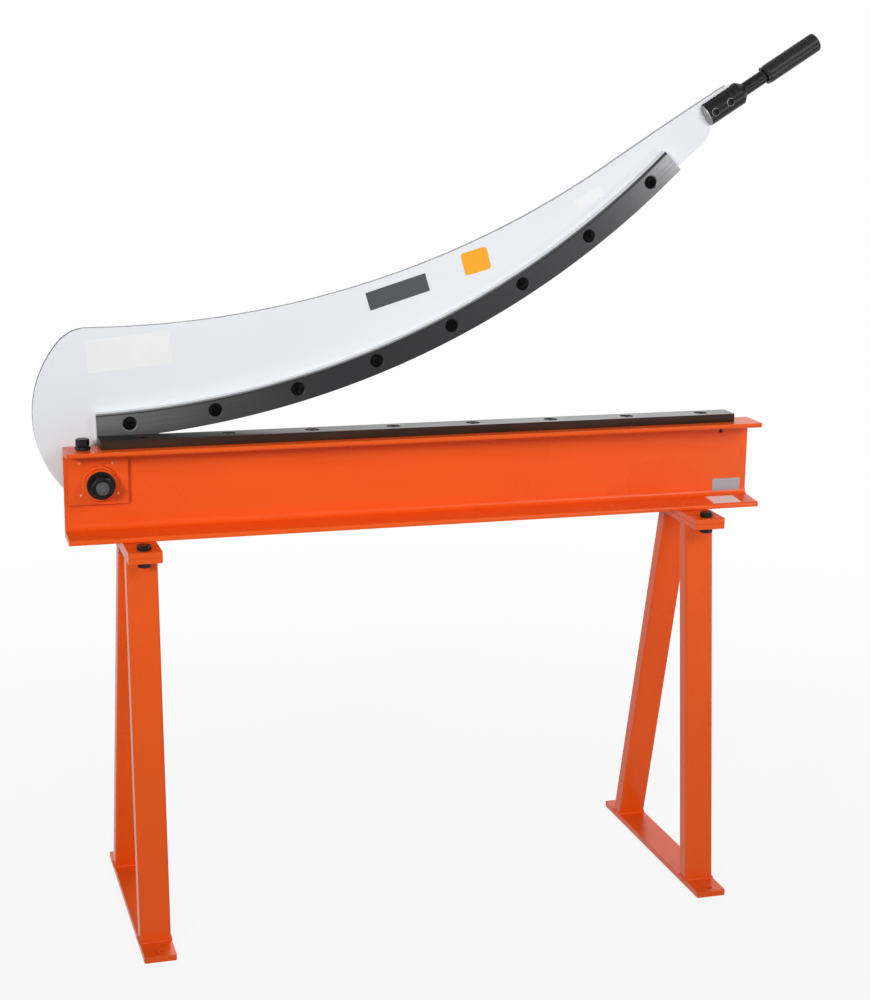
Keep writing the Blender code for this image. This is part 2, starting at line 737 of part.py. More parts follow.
def make_stand(side, middle, frame):
    """A plate under the bed, bolted to the head of a stand of two legs and a base."""
    half = head_width / 2
    head_back = head_length - head_front
    outline = rectangle(middle - half, middle + half, -head_front, head_back, head_corner)
    front_bolt = (middle, stand_bolt_from_end - head_front)
    rear_bolt = (middle, head_back - stand_bolt_from_end)
    bolts = {"front": front_bolt, "rear": rear_bolt}
    add_plate(side + "_saddle_plate", outline, saddle_top - saddle_thickness, saddle_top, bolts.values(),
              stand_bolt_radius, frame)
    add_plate(side + "_head_plate", outline, head_top - head_thickness, head_top, bolts.values(),
              stand_bolt_radius, frame)
    add_leg(side + "_front_leg", middle, front_leg_foot, front_leg_top, frame)
    add_leg(side + "_rear_leg", middle, rear_leg_foot, rear_leg_top, frame)

    half = base_width / 2
    base_back = base_length - base_front
    outline = rectangle(middle - half, middle + half, -base_front, base_back, base_corner)
    anchors = [(middle, anchor_from_end - base_front), (middle, base_back - anchor_from_end)]
    add_plate(side + "_base_plate", outline, 0.0, base_thickness, anchors, anchor_radius, frame)

    for end, (x, y) in bolts.items():
        seat = saddle_top + seat_gap
        nut_top = leg_top
        length = seat - nut_top + stand_nut_length + stand_bolt_spare
        add_bolt("%s_%s_stand_bolt" % (side, end), "black_steel", frame, (x, y, seat), (0, 0, -1),
                 stand_bolt_radius, length, stand_bolt_flats, stand_bolt_head_length, bolt_end_edge,
                 stand_bolt_sides)
        add_nut("%s_%s_stand_nut" % (side, end), "black_steel", frame, (x, y, nut_top), (0, 0, -1),
                stand_bolt_flats, stand_nut_length, stand_bolt_radius, stand_bolt_sides)


def centre_on_footprint(frame):
    """Moves the whole so that the middle of its box stands over the origin."""
    bpy.context.view_layer.update()
    scene_now = bpy.context.evaluated_depsgraph_get()
    corners = []
    for piece in bpy.data.objects:
        if piece.type == "MESH" and not piece.hide_render:
            done = piece.evaluated_get(scene_now)
            corners += [done.matrix_world @ Vector(corner) for corner in done.bound_box]
    middle_x = (min(c.x for c in corners) + max(c.x for c in corners)) / 2
    middle_y = (min(c.y for c in corners) + max(c.y for c in corners)) / 2
    frame.location = (-middle_x, -middle_y, 0.0)
    bpy.context.view_layer.update()


def build():
    for old in list(bpy.data.objects):
        bpy.data.objects.remove(old, do_unlink=True)
    frame = add_empty("shear_frame", (0.0, 0.0, 0.0))
    arm = add_empty("arm_swing", (pivot_from_left, arm_front, pivot_height), frame)
    make_bed(frame)
    make_lower_blade(frame)
    make_flange_bolt(frame)
    make_pivot(frame)
    make_stand("left", left_stand_from_left, frame)
    make_stand("right", bed_length - right_stand_from_right, frame)
    make_arm_plate(arm)
    make_upper_blade(arm)
    make_handle(arm)
    centre_on_footprint(frame)


build()
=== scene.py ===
"""Floor-standing lever shear for sheet metal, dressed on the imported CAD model.

Every surface is worked out with numpy: an outline carried along a line, a profile turned on an axis, or a
bead carried along a path. Metres, +Z up. The bed's places count from its left end, from the toes of its
flanges and from the floor, the arm's places from the pivot, as in the CAD.
"""
import math

import bmesh
import bpy
import numpy as np
from mathutils import Matrix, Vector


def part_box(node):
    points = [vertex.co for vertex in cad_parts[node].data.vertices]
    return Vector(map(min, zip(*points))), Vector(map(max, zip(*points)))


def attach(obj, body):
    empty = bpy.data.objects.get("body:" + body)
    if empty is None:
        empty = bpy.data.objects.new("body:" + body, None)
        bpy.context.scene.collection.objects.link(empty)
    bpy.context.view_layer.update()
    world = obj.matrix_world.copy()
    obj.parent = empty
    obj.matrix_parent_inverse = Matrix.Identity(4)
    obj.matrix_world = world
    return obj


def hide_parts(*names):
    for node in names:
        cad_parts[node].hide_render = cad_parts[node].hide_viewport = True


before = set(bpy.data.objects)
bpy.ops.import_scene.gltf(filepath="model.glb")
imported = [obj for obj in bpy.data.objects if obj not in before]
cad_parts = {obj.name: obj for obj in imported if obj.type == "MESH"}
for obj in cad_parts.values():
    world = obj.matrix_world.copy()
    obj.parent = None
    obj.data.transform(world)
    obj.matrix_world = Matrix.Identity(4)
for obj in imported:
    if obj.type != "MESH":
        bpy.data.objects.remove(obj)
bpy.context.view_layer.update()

STAND = "stand_frame"
ARM = "swing_arm"
UP = (0.0, 0.0, 1.0)
DOWN = (0.0, 0.0, -1.0)
FORWARD = (0.0, -1.0, 0.0)
BACK = (0.0, 1.0, 0.0)
ALONG = (1.0, 0.0, 0.0)
WHITE = (1.0, 1.0, 1.0, 1.0)

# Sizes of the CAD model
seat_gap = 0.0003
bed_length = 1.126
bed_height = 0.140
flange_width = 0.060
web_thickness = 0.007
web_front = flange_width - web_thickness
toe_thickness = 0.0076
flange_taper = 0.08
root_radius = 0.010
toe_radius = 0.005
table_height = 0.7643
web_hole_from_end = 0.0486
web_hole_below_top = 0.021
web_hole_radius = 0.0035
blade_width = 0.040
blade_thickness = 0.0135
lower_blade_from_left = 0.0525
lower_blade_length = 1.033
lower_blade_back = 0.0605
lower_screw_first = 0.119
lower_screw_last = 1.034
screw_count = 8
screw_hole = 0.0053
seat_radius = 0.0096
edge_radius = 1.4153
edge_start = (-0.0005, 0.0638)
edge_start_lean = math.radians(1.956)
upper_blade_length = 1.028
upper_screw_from_end = 0.0505
upper_blade_front = 0.0609
arm_front = 0.0747
arm_thickness = 0.010
pivot_from_left = 0.053
pivot_height = 0.7083
pivot_bore = 0.0103
pivot_radius = 0.0100
pivot_flats = 0.030
pivot_head_height = 0.0125
pivot_nut_height = 0.016
pivot_bolt_past_nut = 0.008
washer_thickness = 0.003
boss_radius = 0.0240
boss_length = 0.014
pad_from_left = 0.005
pad_length = 0.091
pad_height = 0.076
pad_below_top = 0.0125
pad_thickness = 0.008
pad_back = web_front - seat_gap
pad_front = pad_back - pad_thickness
stop_bolt_place = (0.0268, 0.028, 0.0)
stop_bolt_flats = 0.018
stop_head_height = 0.011
stop_nut_flats = 0.0205
stop_nut_height = 0.006
bolt_hole = 0.0063
bolt_radius = 0.006
bolt_flats = 0.019
bolt_head_height = 0.008
bolt_nut_height = 0.008
heel_radius = 0.0435
shoulder_radius = 0.1699
shoulder_angle = math.radians(53.3)
crest_radius = 0.058
back_drop = 0.0388
back_start_ahead = 0.0135
back_radius = 1.4789
back_short = 0.1711
plate_above_edge = 0.003
throat_ahead = 0.100
throat_radius = 0.016
handle_droop = math.radians(1.1)
handle_axis_below = 0.0229
nose_radius = 6.770
nose_corner = 0.006
neck_before_socket = 0.0125
neck_below_axis = 0.0325
neck_radius = 0.034
tongue_before_socket = 0.003
tongue_below_axis = 0.0165
tongue_in_socket = 0.0555
socket_start = 0.1768
socket_length = 0.0750
socket_dome_length = 0.006
socket_dome_flat = 0.008
socket_radius = 0.0195
cap_screw_places = (socket_start + 0.0100, socket_start + 0.0397)
cap_screw_hole = 0.0043
cap_head_seat = 0.0162
rod_radius = 0.0110
rod_seat_depth = 0.0145
rod_shown = 0.0420
rod_length = 0.1415
grip_length = 0.1050
grip_radius = 0.0160
grip_edge = 0.005
leg_width = 0.0475
leg_depth = 0.0284
leg_wall = 0.003
leg_corner = 0.004
base_thickness = 0.0095
saddle_top = 0.6240
bar_width = 0.051
bar_thickness = 0.0085
bar_front = -0.062
bar_back = 0.128
bolt_from_bar_end = 0.017
base_width = 0.0495
base_front = -0.1306
base_back = 0.2850
base_hole = 0.0068
base_hole_from_end = 0.0162
left_stand_middle = 0.105
right_stand_from_end = 0.113

# Sizes of the scene alone: the mouth of a screw's seat is wider and its head deeper than in the CAD model
hair = 0.0001
toe_edge = 0.0006
heel_edge = 0.0012
through_flange = 0.020
through_web = 0.017
pivot_pitch = 0.0025
bolt_pitch = 0.00175
seat_mouth = 0.0114
head_sunk = 0.0012
screw_length = 0.0235 - head_sunk

bed_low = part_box("bed_channel")[0]
home = np.array((bed_low.x, bed_low.y, 0.0))
pivot = home + (pivot_from_left, 0.0, pivot_height)


# Outlines

def circle_part(centre, radius, start, end, count):
    """Centre plus radius times the cosine and sine of evenly spaced angles."""
    turn = np.linspace(start, end, count)
    return np.column_stack((centre[0] + radius * np.cos(turn), centre[1] + radius * np.sin(turn)))


def rounded(parts, count=9):
    """Joins stretches of points and corners (x, y, radius): a corner becomes an arc touching its sides."""
    stretches = [np.atleast_2d(np.array(part, float)) for part in parts]
    outline = []
    for index, part in enumerate(stretches):
        if part.shape[1] == 2 or part[0, 2] == 0.0:
            outline.append(part[:, :2])
            continue
        corner = part[0, :2]
        before = stretches[index - 1][-1, :2] - corner
        after = stretches[(index + 1) % len(stretches)][0, :2] - corner
        before /= np.linalg.norm(before)
        after /= np.linalg.norm(after)
        half = math.acos(np.clip(before @ after, -1.0, 1.0)) / 2
        middle = (before + after) / np.linalg.norm(before + after) * part[0, 2] / math.sin(half)
        first = before * part[0, 2] / math.tan(half) - middle
        last = after * part[0, 2] / math.tan(half) - middle
        start = math.atan2(first[1], first[0])
        sweep = math.remainder(math.atan2(last[1], last[0]) - start, math.tau)
        outline.append(circle_part(corner + middle, part[0, 2], start, start + sweep, count))
    return np.concatenate(outline)


def rectangle(x0, x1, y0, y1, radius=0.0):
    return rounded([(x0, y0, radius), (x1, y0, radius), (x1, y1, radius), (x0, y1, radius)])


# Surfaces

def lattice(rows, columns, wrap_rows=False):
    """Four-sided faces between neighbouring points of a grid whose columns close on themselves."""
    row = np.arange(rows if wrap_rows else rows - 1)[:, None]
    column = np.arange(columns)[None, :]
    above = (row + 1) % rows * columns
    beside = (column + 1) % columns
    row = row * columns
    faces = np.stack((row + column, row + beside, above + beside, above + column), axis=-1)
    return faces.reshape(-1, 4)


def solid(name, grids, wrap_rows=False):
    """One mesh of closed grids of points. Ends that aren't on an axis are closed with a flat face."""
    points, faces, start = [], [], 0
    for grid in grids:
        rows, columns = grid.shape[:2]
        points.append(grid.reshape(-1, 3))
        faces += (lattice(rows, columns, wrap_rows) + start).tolist()
        if not wrap_rows:
            faces.append(list(range(start, start + columns)))
            faces.append(list(range(start + (rows - 1) * columns, start + rows * columns)))
        start += rows * columns
    mesh = bpy.data.meshes.new(name)
    mesh.from_pydata(np.concatenate(points).tolist(), [], faces)
    close_up(mesh)
    piece = bpy.data.objects.new(name, mesh)
    bpy.context.scene.collection.objects.link(piece)
    return piece


def close_up(mesh, distance=0.000002):
    """Merges the points that meet, drops faces with no area and turns every face outwards."""
    bm = bmesh.new()
    bm.from_mesh(mesh)
    bmesh.ops.remove_doubles(bm, verts=bm.verts, dist=distance)
    bmesh.ops.dissolve_degenerate(bm, edges=bm.edges, dist=distance)
    bmesh.ops.recalc_face_normals(bm, faces=bm.faces)
    bm.to_mesh(mesh)
    bm.free()


def carried(outline, corner, across, upward, path):
    """Outline point (a, b) becomes corner + a across + b upward, carried from 0 to the path vector."""
    flat = np.array(corner) + outline[:, :1] * np.array(across) + outline[:, 1:2] * np.array(upward)
    return np.stack((flat, flat + np.array(path)))


def ring_about(direction, angle):
    """A unit vector along an axis, and one at right angles to it for every angle."""
    axis = np.array(direction, float) / np.linalg.norm(direction)
    side = np.cross(axis, FORWARD if abs(axis[1]) < 0.9 else UP)
    side /= np.linalg.norm(side)
    return axis, np.cos(angle)[:, None] * side + np.sin(angle)[:, None] * np.cross(axis, side)


def turned(rows, place, direction, sides=48, turn=0.0):
    """Rows of (radius, height, six, slope) on an axis. A row is a circle, or, where six is 1, a hexagon of
    that half width between its flats, whose corners drop by slope times what they stand out."""
    table = np.zeros((len(rows), 4))
    for index, row in enumerate(rows):
        table[index, :len(row)] = row
    angle = np.arange(sides) * math.tau / sides
    sixth = math.pi / 3
    hexagon = 1.0 / np.cos((angle + sixth / 2) % sixth - sixth / 2)
    shape = 1.0 + table[:, 2:3] * (hexagon - 1.0)
    radius = table[:, :1] * shape
    height = table[:, 1:2] - table[:, 3:4] * (radius - table[:, :1])
    axis, ring = ring_about(direction, angle + turn)
    return np.array(place) + radius[..., None] * ring + height[..., None] * axis


def bead(path, radius, pitch, sides=12):
    """A weld bead: a circle carried round a closed path, its radius swelling once in every pitch, later at
    its sides than on its crown."""
    count = len(path)
    step = np.roll(path, -1, axis=0) - np.roll(path, 1, axis=0)
    step /= np.linalg.norm(step, axis=1)[:, None]
    run = np.concatenate(([0.0], np.cumsum(np.linalg.norm(np.diff(path, axis=0), axis=1))))
    side = np.cross(step, UP)
    upright = np.abs(step @ np.array(UP)) > 0.9
    side[upright] = np.cross(step[upright], BACK)
    side /= np.linalg.norm(side, axis=1)[:, None]
    other = np.cross(side, step)
    angle = np.arange(sides) * math.tau / sides
    wave = np.sin(run[:, None] / pitch * math.tau + 1.3 * np.cos(2 * angle))
    wander = np.sin(run[:, None] * 310.0) * np.sin(run[:, None] * 97.0 + 1.0)
    reach = radius * (1.0 + 0.10 * wave + 0.08 * wander)
    ring = (np.cos(angle)[None, :, None] * side[:, None] + np.sin(angle)[None, :, None] * other[:, None])
    return path[:, None] + reach.reshape(count, sides, 1) * ring


def evenly(path, spacing):
    """Points at even distances round a closed path, by interpolation over its running length."""
    closed = np.concatenate((path, path[:1]))
    run = np.concatenate(([0.0], np.cumsum(np.linalg.norm(np.diff(closed, axis=0), axis=1))))
    at = np.linspace(0.0, run[-1], max(8, int(run[-1] / spacing)), endpoint=False)
    return np.column_stack([np.interp(at, run, closed[:, k]) for k in range(3)])


# Finishing a piece

def settled(piece):
    """Replaces the mesh by what its modifiers make of it."""
    graph = bpy.context.evaluated_depsgraph_get()
    made = bpy.data.meshes.new_from_object(piece.evaluated_get(graph), depsgraph=graph)
    old = piece.data
    piece.modifiers.clear()
    piece.data = made
    bpy.data.meshes.remove(old)


def cut(piece, grids):
    """Takes closed shapes out of a piece."""
    tool = solid(piece.name + "_cut", grids)
    step = piece.modifiers.new("cut", "BOOLEAN")
    step.operation = "DIFFERENCE"
    step.solver = "EXACT"
    step.object = tool
    settled(piece)
    scrap = tool.data
    bpy.data.objects.remove(tool)
    bpy.data.meshes.remove(scrap)
    close_up(piece.data)


def soften(piece, width, segments=3, corner=32.0):
    """Rounds every edge that turns more than the given angle."""
    step = piece.modifiers.new("soft_edges", "BEVEL")
    step.limit_method = "ANGLE"
    step.angle_limit = math.radians(corner)
    step.width = width
    step.segments = segments
    step.use_clamp_overlap = True
    settled(piece)


def shade(piece, angle=38.0):
    """Smooth shading that keeps large faces flat and edges sharper than the angle crisp."""
    piece.data.shade_smooth()
    piece.data.set_sharp_from_angle(angle=math.radians(angle))
    step = piece.modifiers.new("even_shading", "WEIGHTED_NORMAL")
    step.keep_sharp = True
    step.weight = 80
    settled(piece)


def fit(piece, body, coat, *nodes):
    """Gives a piece its body and the finishes of its coat, and hides the CAD nodes that it stands for."""
    slot, *finishes = coat
    for finish in finishes:
        piece.data.materials.append(finish)
    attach(piece, body)
    if nodes:
        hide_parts(*nodes)
    return piece


def build(name, grids, body, coat, *nodes, holes=(), soft=(), angle=38.0, ring=False):
    """A whole piece: its grids, less its holes, with soft edges, smooth shading and its coat."""
    piece = solid(name, grids, ring)
    if holes:
        cut(piece, holes)
    if soft:
        soften(piece, *soft)
    shade(piece, angle)
    return fit(piece, body, coat, *nodes)


def second_finish(piece, chosen):
    """Gives the second finish to the faces that the test picks by their middles and normals."""
    count = len(piece.data.polygons)
    middle = np.zeros(count * 3, np.float32)
    normal = np.zeros(count * 3, np.float32)
    piece.data.polygons.foreach_get("center", middle)
    piece.data.polygons.foreach_get("normal", normal)
    picked = chosen(middle.reshape(-1, 3), normal.reshape(-1, 3))
    piece.data.polygons.foreach_set("material_index", picked.astype(np.int32))


def sideways(flat):
    """A test for the faces that don't look along a flat piece's normal, as a plate's cut edges."""
    return lambda middle, normal: np.abs(normal @ np.array(flat)) < 0.9


# Finishes

class Nodes:
    """A node tree under construction."""

    def __init__(self, tree):
        self.tree = tree

    def set(self, node, sockets):
        for name, value in sockets.items():
            if isinstance(value, bpy.types.NodeSocket):
                self.tree.links.new(value, node.inputs[name])
            else:
                node.inputs[name].default_value = value

    def add(self, kind, sockets=None, **settings):
        node = self.tree.nodes.new(kind)
        for name, value in settings.items():
            setattr(node, name, value)
        self.set(node, sockets or {})
        return node

    def math(self, operation, first, second=0.0):
        return self.add("ShaderNodeMath", {0: first, 1: second}, operation=operation).outputs[0]

    def seen(self):
        """1 for the rays that show the background itself: the camera's, the mirrored and the transmitted."""
        rays = self.add("ShaderNodeLightPath").outputs
        return self.math("MAXIMUM", rays["Is Camera Ray"],
                         self.math("MAXIMUM", rays["Is Glossy Ray"], rays["Is Transmission Ray"]))


class Finish(Nodes):
    """A material: its node tree, its shader and its pattern's coordinates. The shine says how strongly the
    surface mirrors, where 0.5 is plain enamel."""

    def __init__(self, name, colour, roughness, metallic=0.0, shine=0.5):
        self.material = bpy.data.materials.new(name)
        self.material.use_nodes = True
        super().__init__(self.material.node_tree)
        self.shader = self.tree.nodes["Principled BSDF"]
        self.set(self.shader, {"Base Color": (*colour, 1.0), "Roughness": roughness, "Metallic": metallic,
                               "Specular IOR Level": shine})
        self.place = self.add("ShaderNodeTexCoord").outputs["Object"]

    def part(self, axis):
        """One of the pattern's coordinates."""
        return self.add("ShaderNodeSeparateXYZ", {0: self.place}).outputs[axis]

    def joined(self, *parts):
        """Up to three values as one place in a pattern."""
        return self.add("ShaderNodeCombineXYZ", dict(enumerate(parts))).outputs[0]

    def stretched(self, scale):
        """The pattern's coordinates, scaled along each axis."""
        return self.add("ShaderNodeMapping", {"Vector": self.place, "Scale": scale}).outputs[0]

    def about(self, centre):
        """Level and downward distance from an axis along Y, and the distance itself."""
        level = self.math("SUBTRACT", self.part(0), float(centre[0]))
        down = self.math("SUBTRACT", float(centre[2]), self.part(2))
        squares = [self.math("MULTIPLY", part, part) for part in (level, down)]
        return level, down, self.math("SQRT", self.math("ADD", *squares))

    def noise(self, scale, detail=3.0, where=None, roughness=0.5):
        sockets = {"Vector": where or self.place, "Scale": scale, "Detail": detail, "Roughness": roughness}
        return self.add("ShaderNodeTexNoise", sockets).outputs["Fac"]

    def ranged(self, value, low, high, start=0.3, end=0.7):
        """A value between start and end, spread between low and high."""
        sockets = {"Value": value, "From Min": start, "From Max": end, "To Min": low, "To Max": high}
        return self.add("ShaderNodeMapRange", sockets).outputs["Result"]

    def mixed(self, share, first, second):
        first, second = ((*tone, 1.0) if isinstance(tone, tuple) else tone for tone in (first, second))
        return self.add("ShaderNodeMix", {0: share, 6: first, 7: second}, data_type="RGBA").outputs[2]

    def blend(self, value, first, second, start=0.3, end=0.7):
        """The first colour up to the start of a value, the second from its end, and a mix between."""
        return self.mixed(self.ranged(value, 0.0, 1.0, start, end), first, second)

    def done(self, colour, roughness=None, *heights):
        """The material, once its colour, its roughness and its bumps are linked. The bumps are pairs of a
        height and its depth in metres, and each acts on the one before."""
        self.set(self.shader, {"Base Color": colour})
        if roughness:
            self.set(self.shader, {"Roughness": roughness})
        before = {}
        for height, depth in heights:
            sockets = {"Height": height, "Distance": depth, "Strength": 1.0, **before}
            before = {"Normal": self.add("ShaderNodeBump", sockets).outputs["Normal"]}
        self.set(self.shader, before)
        return self.material


def orange_enamel():
    """Glossy sprayed enamel: orange peel, slow shifts of shade, and thin dust."""
    made = Finish("orange_enamel", (0.87, 0.105, 0.008), 0.27, shine=0.22)
    cloud = made.noise(5.0)
    base = made.blend(cloud, (0.84, 0.098, 0.007), (0.90, 0.112, 0.009), 0.2, 0.8)
    dust = made.ranged(made.noise(190.0, 2.0), 0.0, 0.20, 0.68, 0.80)
    return made.done(made.mixed(dust, base, (0.95, 0.26, 0.10)), made.ranged(cloud, 0.24, 0.32, 0.2, 0.8),
                     (made.noise(14.0, 1.0), 0.0004), (made.noise(330.0, 1.5), 0.00006))


def white_enamel():
    """Cool white semi-gloss paint on a rolled plate."""
    made = Finish("white_enamel", (0.80, 0.82, 0.86), 0.33, shine=0.35)
    return made.done(made.blend(made.noise(4.0), (0.785, 0.812, 0.85), (0.82, 0.84, 0.87), 0.2, 0.8),
                     made.ranged(made.noise(40.0), 0.30, 0.40),
                     (made.noise(12.0, 1.0), 0.0003), (made.noise(380.0, 1.5), 0.00006))


def cut_edge():
    """The plate's cut edge: dark grey with fine marks across its thickness."""
    made = Finish("plate_cut_edge", (0.06, 0.062, 0.068), 0.55, 0.3, 0.2)
    marks = made.noise(900.0, 2.0, made.stretched((1.0, 0.04, 1.0)))
    return made.done(made.blend(marks, (0.060, 0.062, 0.068), (0.13, 0.134, 0.142)), None, (marks, 0.00015))


def ground_lines(made, where, tone):
    """Fine grinding lines that lighten and darken a tone, with dull stains over them."""
    lines = made.noise(1.0, 4.0, where, 0.65)
    stain = made.ranged(made.noise(11.0, 4.0), 0.0, 0.30)
    grain = made.mixed(made.ranged(lines, 0.0, 0.45), tone, (0.02, 0.02, 0.021))
    return made.done(made.mixed(stain, grain, (0.035, 0.033, 0.033)), made.ranged(lines, 0.32, 0.48),
                     (lines, 0.00006))


lines_along = 6.0
lines_across = 1400.0


def bed_blade_steel():
    """Dark ground steel whose lines run along the bed, with a painted reflection: dark at the pivot end,
    lighter towards the right end.
    """
    made = Finish("bed_blade_steel", (0.11, 0.11, 0.115), 0.38, 0.75)
    made.set(made.shader, {"Specular Tint": (0.42, 0.42, 0.42, 1.0)})
    left = float(home[0])
    # painted reflection: the tone runs from dark at the bed's left end to light at its right end
    tone = made.blend(made.part(0), (0.012, 0.012, 0.013), (0.46, 0.46, 0.462), left, left + bed_length)
    return ground_lines(made, made.stretched((lines_along, lines_across, lines_across)), tone)


def curved_blade_steel():
    """Ground steel whose lines follow the curve, in painted reflections: darkest in its middle and bright
    towards its ends and along its upper edge, above a dark line. The pattern's place is angle times radius,
    depth and radius about the middle of the curve."""
    made = Finish("curved_blade_steel", (0.11, 0.11, 0.115), 0.38, 0.75)
    level, down, reach = made.about(pivot + (edge_centre[0], 0.0, edge_centre[1]))
    angle = made.math("ARCTAN2", level, down)
    where = made.joined(made.math("MULTIPLY", angle, lines_along * edge_radius),
                        made.math("MULTIPLY", made.part(1), lines_across),
                        made.math("MULTIPLY", reach, lines_across))
    # painted reflection: lighter near the pivot, darkest in the middle, bright at the far end
    near_pivot = made.math("POWER", made.ranged(angle, 1.0, 0.0, edge_angle(0.0), edge_angle(0.40)), 2.0)
    outward = made.ranged(angle, 0.0, 1.0, edge_angle(0.48), edge_angle(upper_blade_length))
    tone = made.mixed(near_pivot, (0.031, 0.031, 0.034), (0.225, 0.225, 0.228))
    tone = made.mixed(outward, tone, (0.078, 0.078, 0.082))
    tone = made.mixed(made.math("POWER", outward, 10.0), tone, (0.54, 0.54, 0.55))
    upper_edge = edge_radius - blade_width
    line = made.ranged(reach, 1.0, 0.0, upper_edge + 0.0042, upper_edge + 0.0056)
    # painted reflection in a band along the upper edge
    rub_and_edge_reflection = made.ranged(reach, 1.0, 0.0, upper_edge + 0.0012, upper_edge + 0.0040)
    edge_reflection_tone = made.mixed(outward, (0.42, 0.42, 0.43), (0.05, 0.05, 0.051))
    return ground_lines(made, where, made.mixed(rub_and_edge_reflection, made.mixed(line, tone, (0.012, 0.012, 0.013)), edge_reflection_tone))


def bright_edge_steel():
    """The narrow ground faces of the curved blade, brighter than its side."""
    made = Finish("bright_edge_steel", (0.70, 0.71, 0.73), 0.32, 0.6)
    lines = made.noise(1.0, 3.0, made.stretched((30.0, 900.0, 30.0)))
    return made.done(made.blend(lines, (0.62, 0.63, 0.65), (0.80, 0.81, 0.83)))


def painted_shade_edge_steel():
    """The narrow faces of the bed's blade in a mottled dark brown, which is painted shade with a painted
    reflection of the orange bed.
    """
    made = Finish("painted_shade_edge_steel", (0.030, 0.013, 0.008), 0.42, shine=0.15)
    # painted shade and painted reflection of the orange bed, mottled by noise
    scale = made.noise(60.0, 3.0, made.stretched((0.3, 1.0, 1.0)))
    return made.done(made.blend(scale, (0.024, 0.010, 0.006), (0.044, 0.021, 0.013)))


def black_oxide(name, shine):
    """Oiled black steel with small brown and grey rubs."""
    made = Finish(name, (0.004, 0.004, 0.0045), 0.30, shine=shine)
    rub_and_edge_reflection = made.noise(170.0)
    return made.done(made.blend(rub_and_edge_reflection, (0.003, 0.003, 0.0034), (0.026, 0.023, 0.021), 0.50, 0.85),
                     made.ranged(rub_and_edge_reflection, 0.27, 0.34), (made.noise(600.0, 1.0), 0.00001))


def turned_steel(name, axis_place, colour):
    """Bare steel faced on a lathe: rings round an axis along Y, with a few dull spots."""
    made = Finish(name, colour, 0.3, 0.9)
    reach = made.about(axis_place)[2]
    rings = made.noise(1.0, 2.0, made.joined(made.math("MULTIPLY", reach, 2600.0)))
    dull = made.ranged(made.noise(260.0), 0.0, 0.8, 0.45, 0.75)
    return made.done(made.mixed(dull, colour, tuple(0.45 * part for part in colour)),
                     made.ranged(rings, 0.22, 0.40), (rings, 0.00004))


def moulded_black():
    """Black moulded grip with a fine spark-eroded skin."""
    made = Finish("moulded_black", (0.004, 0.004, 0.0045), 0.33, shine=0.28)
    skin = made.add("ShaderNodeTexVoronoi", {"Vector": made.place, "Scale": 1500.0}).outputs["Distance"]
    rub_and_edge_reflection = made.noise(60.0)
    return made.done(made.blend(rub_and_edge_reflection, (0.003, 0.003, 0.0034), (0.006, 0.0055, 0.0055)),
                     made.ranged(rub_and_edge_reflection, 0.30, 0.36), (skin, 0.000008))


def plain_film(name, colour, roughness, metallic=0.0):
    """A bare stuck-on film or plate, very slightly uneven."""
    made = Finish(name, colour, roughness, metallic)
    haze = made.noise(30.0, 2.0)
    return made.done(made.blend(haze, tuple(0.97 * part for part in colour), colour),
                     made.ranged(haze, roughness - 0.03, roughness + 0.03), (made.noise(20.0, 1.0), 0.00006))


# Curve of the upper blade and outline of the arm, from the pivot

edge_centre = (edge_start[0] - edge_radius * math.sin(edge_start_lean),
               edge_start[1] + edge_radius * math.cos(edge_start_lean))


def edge_angle(along):
    return edge_start_lean + along / (edge_radius - blade_width / 2)


def edge_curve(radius, start, end, count):
    quarter = math.pi / 2
    return circle_part(edge_centre, radius, start - quarter, end - quarter, count)


shoulder_centre = tuple((shoulder_radius - heel_radius) * part
                        for part in (math.cos(shoulder_angle), math.sin(shoulder_angle)))
back_centre = (back_start_ahead, shoulder_centre[1] + shoulder_radius - back_drop + back_radius)
back_angle = (upper_blade_length - back_short) / back_radius
handle_turn = back_angle - handle_droop
handle_ahead = np.array((math.cos(handle_turn), math.sin(handle_turn)))
handle_up = np.array((-handle_ahead[1], handle_ahead[0]))


def on_handle(along, across):
    """Points of the arm by their distance past the end of the back and above the handle's axis."""
    start = np.array(back_centre) + back_radius * np.array((math.sin(back_angle), -math.cos(back_angle)))
    along = np.atleast_1d(along)[:, None]
    across = np.atleast_1d(across)[:, None]
    return start + handle_ahead * along + handle_up * (across - handle_axis_below)


